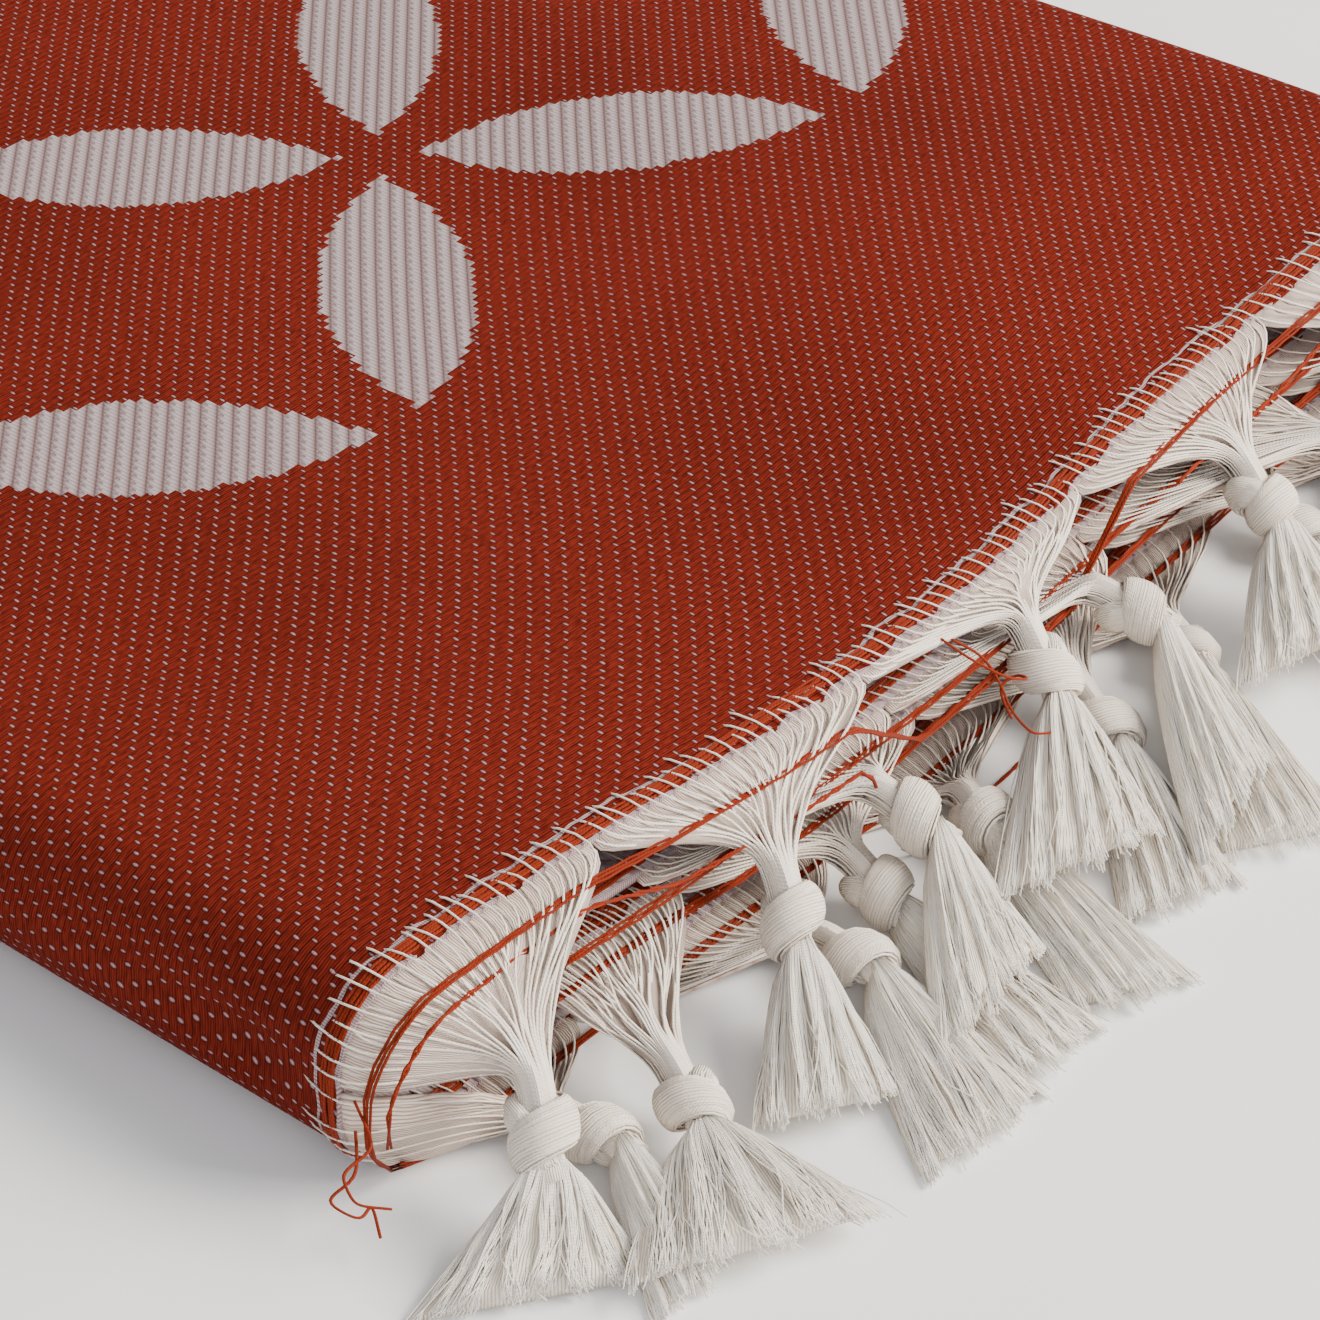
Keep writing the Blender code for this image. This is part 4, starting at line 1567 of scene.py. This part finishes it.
@dataclass(frozen=True)
class Weave:
    """The parts of a weave as outputs of nodes, each a value for every place on the cloth."""

    drawn: bpy.types.NodeSocket  # the coordinates in metres, as the threads wander
    repeat: bpy.types.NodeSocket  # repeats across the cloth
    pick: bpy.types.NodeSocket  # picks along it
    warp_end: bpy.types.NodeSocket  # ridges over the warp ends
    far: bpy.types.NodeSocket  # the square of the distance from a dot's middle, 1 at its rim
    dome: bpy.types.NodeSocket  # 1 in a dot's middle, 0 at its rim
    pit: bpy.types.NodeSocket  # the same, smaller
    strand: bpy.types.NodeSocket  # ridges over the weft's strands
    pick_top: bpy.types.NodeSocket  # ridges over the picks
    rib: bpy.types.NodeSocket  # ridges along the satin line
    fibre: bpy.types.NodeSocket  # fine slanting noise


@dataclass(frozen=True)
class JacquardCotton:
    """Jacquard-woven cotton, a five-end satin of rust weft over off-white warp.

    The weft floats along the picks, three plied strands to a pick, and each warp end comes up over
    one pick in five, as a small off-white dot. In the petals the weave is turned over, and the warp
    covers the weft but for a pit at each binding point. Matt, with a trace of cotton fuzz. The
    petals are a plain traditional figure of overlapping circles. Close to both ends of the cloth
    some picks have slipped outwards, and the warp lies bare where they were.
    """

    name: str
    turned: bool
    rust: str = "#661E15"
    # The next two are shaded and lit copies of the rust, painted on: painted shade and painted highlight.
    rust_shaded: str = "#3A0B05"
    rust_lit: str = "#842A1C"
    # The dots' off-white, toned down in part as painted shade; the next colour is painted shade at their
    # rims.
    dot: str = "#A0858A"
    dot_rim_shaded: str = "#6E3432"
    warp: str = "#AFA4A5"
    # Painted shade between the petals' warp ends and beside their ribs.
    warp_shaded: str = "#6F5552"
    # In the petals' pits, the weft showing with painted shade; between bare warp threads, painted shade.
    pit: str = "#7A4038"
    pick_mm: float = 1.17  # from pick to pick, along the warp
    repeat_mm: float = 3.33  # five warp ends
    ends: float = 5.0  # in a repeat
    strands: float = 3.0  # in a pick
    dot_step: float = 0.4  # of the repeat, from one pick's dots to the next's
    aslant: float = 0.08
    cell_mm: float = 53.0  # from petal to petal
    petal_radius: float = 0.92  # of the circles, in cells
    loose_end_mm: float = 4.9  # from the edge; nearer to it the picks have slipped outwards
    slipped_mm: tuple = (3.0, 1.35)  # the middle and half the width of the slipped picks
    plain_end_mm: float = 80.0
    plain_side_mm: float = 24.5
    cells: tuple = (17.0, 30.0, 1.0)

    def petals(self, add: Callable, place: bpy.types.NodeSocket) -> bpy.types.NodeSocket:
        """A petal lies nearer than the radius to two opposite corners of its square cell.

        The two corners change from cell to cell like a chessboard's colours, so that the arcs join
        to circles. The place is stepped first by two warp ends and one pick, as the loom steps it.

        Args:
            add: adds a node to the tree.
            place: the cloth's coordinates in metres.

        Returns:
            1 where the warp lies on top on this side of the cloth.
        """
        step = (self.dot_step * self.repeat_mm * MM, self.pick_mm * MM, 1.0)
        start = (self.plain_side_mm * MM - step[0] / 2, self.plain_end_mm * MM - step[1] / 2, 0.0)
        stepped = add("VectorMath", add("VectorMath", place, step, operation="SNAP"), start, **LESS)
        cell = add("VectorMath", stepped, (self.cell_mm * MM,) * 3, **OVER)
        number = add("VectorMath", cell, operation="FLOOR")
        corner = add("VectorMath", cell, operation="FRACTION")
        total = add("VectorMath", number, (1.0, 1.0, 0.0), operation="DOT_PRODUCT")
        odd = add("Math", total, 2.0, operation="FLOORED_MODULO")
        one = add("VectorMath", corner, add("CombineXYZ", add("Math", 1.0, odd, **LESS), 0.0), **DISTANCE)
        other = add("VectorMath", corner, add("CombineXYZ", odd, 1.0), **DISTANCE)
        near = add("Math", add("Math", one, other, **MOST), self.petal_radius, operation="LESS_THAN")
        kept = add("VectorMath", cell, (0.0, 0.0, 0.0), **MOST)
        kept = add("VectorMath", kept, self.cells, operation="MINIMUM")
        figured = add("Math", add("VectorMath", cell, kept, **DISTANCE), 0.0001, operation="LESS_THAN")
        inside = add("Math", near, figured, **TIMES)
        return add("Math", 1.0, inside, **LESS) if self.turned else inside

    def bare_warp(self, add: Callable, place: bpy.types.NodeSocket) -> bpy.types.NodeSocket:
        """Where the last picks have slipped outwards, by the distance L/2 - |v - L/2| from an end.

        The distance is uneven by a millimetre or so, as noise.

        Args:
            add: adds a node to the tree.
            place: the cloth's coordinates in metres.

        Returns:
            1 where the warp lies bare, and 0 on the cloth and on the slipped picks.
        """
        half = TowelSize().length / 2
        along = add("SeparateXYZ", place).node.outputs["Y"]
        from_middle = add("Math", add("Math", along, half, **LESS), operation="ABSOLUTE")
        noise = add("TexNoise", place, 130.0, 2.0, **FLAT)
        uneven = add("Math", noise, 0.0030, half - 0.0015, **TIMES_PLUS)
        from_end = add("Math", uneven, from_middle, **LESS)
        loose = add("Math", from_end, self.loose_end_mm * MM, operation="LESS_THAN")
        middle, half_width = self.slipped_mm
        slipped = add("Math", from_end, middle * MM, half_width * MM, operation="COMPARE")
        return add("Math", loose, slipped, use_clamp=True, **LESS)

    def weave(self, add: Callable, place: bpy.types.NodeSocket) -> Weave:
        """The threads' places and forms.

        The threads wander a little, over a few centimetres and over a few threads. Each pick's dots
        are set two fifths of the repeat further on, and lie a little aslant. A dot is an ellipse:
        its distance is the sum of the squares of both coordinates over its half axes, which differ
        from dot to dot by chance.

        Args:
            add: adds a node to the tree.
            place: the cloth's coordinates in metres.

        Returns:
            The parts of the weave.
        """
        slow = add("Math", add("TexNoise", place, 24.0, 1.0, **FLAT), 0.0016, -0.0010, **TIMES_PLUS)
        wander = add("Math", add("TexNoise", place, 330.0, 1.0, **FLAT), 0.00036, slow, **TIMES_PLUS)
        drawn = add("VectorMath", wander, (1.0, 0.8, 0.0), place, **TIMES_PLUS)
        counted = add("VectorMath", drawn, (self.repeat_mm * MM, self.pick_mm * MM, 1.0), **OVER)
        split = add("SeparateXYZ", counted).node
        repeat, pick = split.outputs["X"], split.outputs["Y"]
        number = add("Math", pick, operation="FLOOR")
        across_pick = add("Math", add("Math", pick, operation="FRACT"), 0.5, **LESS)
        satin = add("Math", number, -self.dot_step, repeat, **TIMES_PLUS)
        along_pick = add("Math", add("Math", satin, operation="FRACT"), 0.5, **LESS)
        along_pick = add("Math", along_pick, self.repeat_mm / self.pick_mm, **TIMES)
        along_pick = add("Math", across_pick, -self.aslant, along_pick, **TIMES_PLUS)
        seed = add("CombineXYZ", add("Math", satin, operation="FLOOR"), number)
        chance = add("TexWhiteNoise", seed, **FLAT)
        half_long = add("Math", chance, 0.08, 0.42, **TIMES_PLUS)
        half_wide = add("Math", chance, 0.05, 0.16, **TIMES_PLUS)
        wide = add("Math", add("Math", along_pick, half_wide, **OVER), 2.0, **POWER)
        long = add("Math", add("Math", across_pick, half_long, **OVER), 2.0, **POWER)
        far = add("Math", wide, long, **PLUS)
        stretched = add("Mapping", place, None, (0.0, 0.0, 0.20), (650.0, 3600.0, 1.0))
        satin_line = add("Math", pick, -self.dot_step, repeat, **TIMES_PLUS)
        return Weave(
            drawn=drawn,
            repeat=repeat,
            pick=pick,
            warp_end=ridges(add, add("Math", satin, self.ends, **TIMES), 2.0),
            far=far,
            dome=add("MapRange", far, 0.0, 1.0, 1.0, 0.0, **SMOOTH),
            pit=add("MapRange", far, 0.35, 0.95, 1.0, 0.0, **SMOOTH),
            strand=ridges(add, add("Math", pick, self.strands, **TIMES), 2.0),
            pick_top=ridges(add, pick, 2.6),
            rib=ridges(add, satin_line, 2.0),
            fibre=add("TexNoise", stretched, 1.0, 2.0, **FLAT),
        )

    def ground(self, add: Callable, place: bpy.types.NodeSocket, weave: Weave) -> bpy.types.NodeSocket:
        """The rust ground: painted highlight on the strands, painted shade in the grooves and round each
        off-white dot.

        Args:
            add: adds a node to the tree.
            place: the cloth's coordinates in metres.
            weave: the weave's parts.

        Returns:
            The colour.
        """
        # Painted highlight on the strands' tops and along fine fibres, painted shade between them.
        lit = add("MapRange", weave.fibre, 0.3, 0.7, -0.2, 0.65)
        lit = add("Math", weave.strand, 0.60, lit, **TIMES_PLUS)
        rust = add("Mix", lit, linear(self.rust_shaded), linear(self.rust_lit), **COLOURS)
        rust = add("Mix", 0.25, rust, linear(self.rust), **COLOURS)
        # Painted shade in the grooves between picks and in a ring round each dot.
        groove_shade = add("Math", weave.pick_top, -0.38, 0.38, **TIMES_PLUS)
        around = add("MapRange", weave.far, 1.0, 3.2, 1.0, 0.0, **SMOOTH)
        shadow = add("Math", groove_shade, add("Math", around, 0.6, **TIMES), **MOST)
        rust = add("Mix", shadow, rust, linear(self.rust_shaded), **COLOURS)
        # Darker in soft random patches over the cloth.
        tone = add("TexNoise", place, 14.0, 3.0, **FLAT)
        darker_patches = add("MapRange", tone, 0.35, 0.75, 0.0, 0.25, **SMOOTH)
        rust = add("Mix", darker_patches, rust, linear(self.rust_shaded), **COLOURS)
        # Painted shade on each dot: darker at its rim than in its middle.
        white = add("Mix", weave.dome, linear(self.dot_rim_shaded), linear(self.dot), **COLOURS)
        dot = add("MapRange", weave.far, 0.6, 1.15, 1.0, 0.0, **SMOOTH)
        return add("Mix", dot, rust, white, **COLOURS)

    def cover(self, add: Callable, weave: Weave) -> bpy.types.NodeSocket:
        """The off-white petals: painted highlight on the ribs, painted shade between warp ends, and in the
        pits the weft showing under painted shade.

        Args:
            add: adds a node to the tree.
            weave: the weave's parts.

        Returns:
            The colour.
        """
        # Painted highlight on the warp ends' tops and the satin ribs, painted shade between them, and the
        # pits darkened.
        shine = add("Math", weave.warp_end, 0.45, 0.55, **TIMES_PLUS)
        shine = add("Math", weave.rib, shine, **TIMES)
        colour = add("Mix", shine, linear(self.warp_shaded), linear(self.warp), **COLOURS)
        return add("Mix", add("Math", weave.pit, 0.6, **TIMES), colour, linear(self.pit), **COLOURS)

    def relief(self, add: Callable, weave: Weave, petal: bpy.types.NodeSocket) -> bpy.types.NodeSocket:
        """The threads' height, where 1 is the depth that is set on the bump.

        Args:
            add: adds a node to the tree.
            weave: the weave's parts.
            petal: 1 where the warp lies on top.

        Returns:
            The height.
        """
        bed = add("Math", weave.strand, 0.32, add("Math", weave.pick_top, 0.34, **TIMES), **TIMES_PLUS)
        bed = add("Math", weave.dome, 0.60, bed, **TIMES_PLUS)
        bed = add("Math", weave.fibre, 0.25, bed, **TIMES_PLUS)
        raised = add("Math", weave.warp_end, 0.25, add("Math", weave.rib, 0.55, **TIMES), **TIMES_PLUS)
        raised = add("Math", weave.pit, -0.35, raised, **TIMES_PLUS)
        raised = add("Math", weave.fibre, 0.35, raised, **TIMES_PLUS)
        return add("Mix", petal, bed, raised, **NUMBERS)

    def make(self) -> bpy.types.Material:
        """The material, from the cloth's own UV map in metres.

        Where the warp lies bare, it is drawn as straight threads, one over each half of a warp end, with
        painted shade between them.

        Returns:
            The material.
        """
        material, add = new_material(self.name)
        place = add("UVMap", uv_map="cloth_m")
        weave, petal = self.weave(add, place), self.petals(add, place)
        colour = add("Mix", petal, self.ground(add, place, weave), self.cover(add, weave), **COLOURS)
        threads = ridges(add, add("Math", weave.repeat, 2 * self.ends, **TIMES), 2.0)
        # Painted shade between the bare warp threads.
        laid = add("Mix", threads, linear(self.pit), linear(self.warp), **COLOURS)
        colour = add("Mix", self.bare_warp(add, weave.drawn), colour, laid, **COLOURS)
        bump = add("Bump", 0.9, 0.00028, None, self.relief(add, weave, petal))
        dress(material, colour, bump, {"Roughness": 0.9, "Specular IOR Level": 0.05, "Sheen Weight": 0.0})
        return material


@dataclass(frozen=True)
class CottonYarn:
    """Loosely plied cotton yarn: two strands twisted together, matt and a little translucent.

    The twist shows as soft slanting grooves with painted shade in them, and each yarn has its own tint.
    """

    name: str
    light: str
    dark: str
    twist_mm: float = 1.1  # for a whole turn
    # The painted shade in the ply's grooves.
    groove_shade: float = 0.18  # its share of the way from light to dark
    subsurface: float = 0.10

    def make(self) -> bpy.types.Material:
        """The material, from the tube's UV map: once round, and metres along.

        Returns:
            The material.
        """
        material, add = new_material(self.name)
        split = add("SeparateXYZ", add("UVMap", uv_map="cloth_m")).node
        turned = add("Math", split.outputs["Y"], 1 / (self.twist_mm * MM), split.outputs["X"], **TIMES_PLUS)
        ply = ridges(add, add("Math", turned, 2.0, **TIMES), 2.0)
        tint = add("Attribute", attribute_name="yarn_tint").node.outputs["Fac"]
        place = add("TexCoord").node.outputs["Object"]
        fuzz = add("TexNoise", place, 420.0, 2.0)
        # Painted shade in the ply's grooves; the fuzz and each yarn's tint vary the colour at random.
        shade = add("Math", ply, self.groove_shade, 0.5 - self.groove_shade, **TIMES_PLUS)
        shade = add("Math", fuzz, 0.40, shade, **TIMES_PLUS)
        shade = add("Math", tint, 0.30, shade, use_clamp=True, **TIMES_PLUS)
        colour = add("Mix", shade, linear(self.dark), linear(self.light), **COLOURS)
        numbers = {
            "Roughness": 0.85,
            "Specular IOR Level": 0.15,
            "Sheen Weight": 0.05,
            "Subsurface Weight": self.subsurface,
            "Subsurface Radius": (0.0016, 0.0012, 0.0009),
        }
        dress(material, colour, add("Bump", 0.5, 0.00010, None, add("Math", ply, fuzz, **PLUS)), numbers)
        return material


@dataclass(frozen=True)
class LaidFibres:
    """Fine cotton ends lying side by side, as in the veil of a fan or the body of a skirt.

    Light threads with soft shadows between them, drawn a third of a millimetre apart, half as
    close as the real ones, so that they still show in a picture of the whole towel.
    """

    name: str
    light: str
    dark: str
    spacing_mm: float = 0.35

    def make(self) -> bpy.types.Material:
        """The material, from the piece's UV map: metres across and along the fibres.

        Returns:
            The material.
        """
        material, add = new_material(self.name)
        place = add("UVMap", uv_map="cloth_m")
        drift = add("TexNoise", place, 170.0, 1.0, **FLAT)
        across = add("Math", drift, 0.0006, add("SeparateXYZ", place), **TIMES_PLUS)
        thread = ridges(add, add("Math", across, self.spacing_mm * MM, **OVER), 2.0)
        stretched = add("Mapping", place, None, None, (4200.0, 330.0, 1.0))
        fibre = add("TexNoise", stretched, 1.0, 2.0, **FLAT)
        shade = add("Math", thread, add("Math", fibre, 1.0, 0.35, **TIMES_PLUS), use_clamp=True, **TIMES)
        colour = add("Mix", shade, linear(self.dark), linear(self.light), **COLOURS)
        height = add("Math", fibre, 0.7, thread, **TIMES_PLUS)
        numbers = {"Roughness": 0.88, "Specular IOR Level": 0.12, "Sheen Weight": 0.05}
        dress(material, colour, add("Bump", 0.8, 0.00020, None, height), numbers)
        return material


@dataclass(frozen=True)
class PaleBoard:
    """Matt painted board for the floor: nearly white, with the faintest mottle."""

    name: str
    light: str
    dark: str

    def make(self) -> bpy.types.Material:
        """The material, from the board's own coordinates.

        Returns:
            The material.
        """
        material, add = new_material(self.name)
        mottle = add("TexNoise", add("TexCoord").node.outputs["Object"], 40.0)
        colour = add("Mix", mottle, linear(self.dark), linear(self.light), **COLOURS)
        bump = add("Bump", 0.05, 0.0001, None, mottle)
        dress(material, colour, bump, {"Roughness": 0.9, "Specular IOR Level": 0.1})
        return material


# --- Stage ------------------------------------------------------------------------------------


@dataclass(frozen=True)
class Panel:
    """A square light panel that faces a point."""

    name: str
    place: tuple
    aim: tuple
    size: float
    watts: float
    colour: str

    def build(self) -> None:
        """Adds the lamp, turned about X and then Z so that it looks from its place to its aim."""
        light = bpy.data.lights.new(self.name, "AREA")
        light.shape, light.size, light.energy = "SQUARE", self.size, self.watts
        light.color = linear(self.colour)[:3]
        lamp = bpy.data.objects.new(self.name, light)
        away = np.array(self.place) - np.array(self.aim)
        lamp.location = self.place
        level = math.hypot(away[0], away[1])
        lamp.rotation_euler = (math.atan2(level, away[2]), 0.0, math.atan2(away[0], -away[1]))
        bpy.context.scene.collection.objects.link(lamp)


# The key stands behind and to the right, so that the near side is a little darker than the top.
PANELS = (
    Panel("key_panel", (1.30, 0.75, 0.95), (0.25, 0.0, 0.0), 0.9, 65.0, "#FFF8F0"),
    Panel("fill_panel", (1.10, -0.90, 0.80), (0.30, 0.0, 0.0), 0.9, 8.0, "#F2F6FF"),
)


@dataclass
class Studio:
    """A plain pale floor, soft light from large panels and a camera at the photograph's angle."""

    shift: tuple
    camera_place: tuple = (0.55260, -0.38250, 0.34830)
    pitch_deg: float = 37.2
    yaw_deg: float = 129.3
    lens_mm: float = 113.97
    floor_reach: float = 3.0
    sky: str = "#F7F8FA"
    sky_strength: float = 0.57

    def floor(self) -> None:
        """A wide square of pale matt board under the towel."""
        mesh = bpy.data.meshes.new("pale_floor")
        square = ((-1, -1), (1, -1), (1, 1), (-1, 1))
        corners = [(x * self.floor_reach, y * self.floor_reach, 0) for x, y in square]
        mesh.from_pydata(corners, [], [(0, 1, 2, 3)])
        mesh.materials.append(PaleBoard("pale_board", light="#FAFAFA", dark="#F4F4F3").make())
        board = bpy.data.objects.new("pale_floor", mesh)
        bpy.context.scene.collection.objects.link(board)

    def camera(self) -> None:
        """The camera, at the photograph's height, direction and focal length."""
        lens = bpy.data.cameras.new("camera")
        lens.lens, lens.sensor_width = self.lens_mm, 36.0
        lens.clip_start, lens.clip_end = 0.01, 20.0
        seat = bpy.data.objects.new("camera", lens)
        seat.location = np.array(self.camera_place) + np.array(self.shift)
        seat.rotation_euler = (math.radians(90 - self.pitch_deg), 0.0, math.radians(self.yaw_deg - 90))
        bpy.context.scene.collection.objects.link(seat)
        bpy.context.scene.camera = seat

    def build(self) -> None:
        """Sets up the whole stage."""
        self.floor()
        self.camera()
        world = bpy.data.worlds.new("soft_white_room")
        world.use_nodes = True
        sky = world.node_tree.nodes["Background"]
        sky.inputs["Color"].default_value = linear(self.sky)
        sky.inputs["Strength"].default_value = self.sky_strength
        bpy.context.scene.world = world
        for panel in PANELS:
            panel.build()


# --- The towel --------------------------------------------------------------------------------


def build_towel(stack: FoldedStack) -> list:
    """The towel's cloth, its forty tassels and its loose threads, each with its finish.

    Args:
        stack: the towel's folds, in the shared frame.

    Returns:
        The objects.
    """
    face = JacquardCotton("jacquard_cotton_face", turned=False).make()
    reverse = JacquardCotton("jacquard_cotton_reverse", turned=True).make()
    yarn = CottonYarn("plied_cotton_yarn", light="#F8EFE3", dark="#CBB396", groove_shade=0.24).make()
    fibres = LaidFibres("laid_cotton_fibres", light="#F5ECDF", dark="#DDCDB5").make()
    veil = LaidFibres("gathered_cotton_warp", light="#EEE0D2", dark="#B48E7C").make()
    strand = CottonYarn("loose_cotton_strand", "#FCF6EC", "#E6D8C2", twist_mm=0.8, groove_shade=0.08).make()
    weft = CottonYarn("rust_weft_yarn", light="#8A2A0B", dark="#4A1104", subsurface=0.02).make()
    threads = {Thread.YARN: yarn, Thread.FIBRES: fibres, Thread.STRAND: strand, Thread.VEIL: veil}
    made = [Cloth(stack).build([face, reverse])]
    for end in End:
        tassels = [Tassel(stack, end, number) for number in range(stack.size.tassels_per_end)]
        made += [tassel.build([threads[kind] for kind in Thread]) for tassel in tassels]
        made.append(LooseWefts(stack, tassels, end).build([weft]))
    return made + [frayed_ends(stack, [weft])]


def main() -> None:
    """Loads the frame, builds the towel where the solids lie, and sets the stage."""
    logging.basicConfig(level=logging.INFO, format="%(name)s: %(message)s")
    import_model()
    low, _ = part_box("towel_cloth")
    size = TowelSize()
    outer_y = size.half_folded + 5.5 * size.pitch + size.thickness / 2
    shift = (float(low.x) - size.back_edge_x, float(low.y) + outer_y, 0.0)
    made = build_towel(FoldedStack(size, shift))
    LOG.info("%d triangles in all", sum(len(piece.data.loop_triangles) for piece in made))
    Studio(shift).build()


if __name__ == "__main__":
    main()
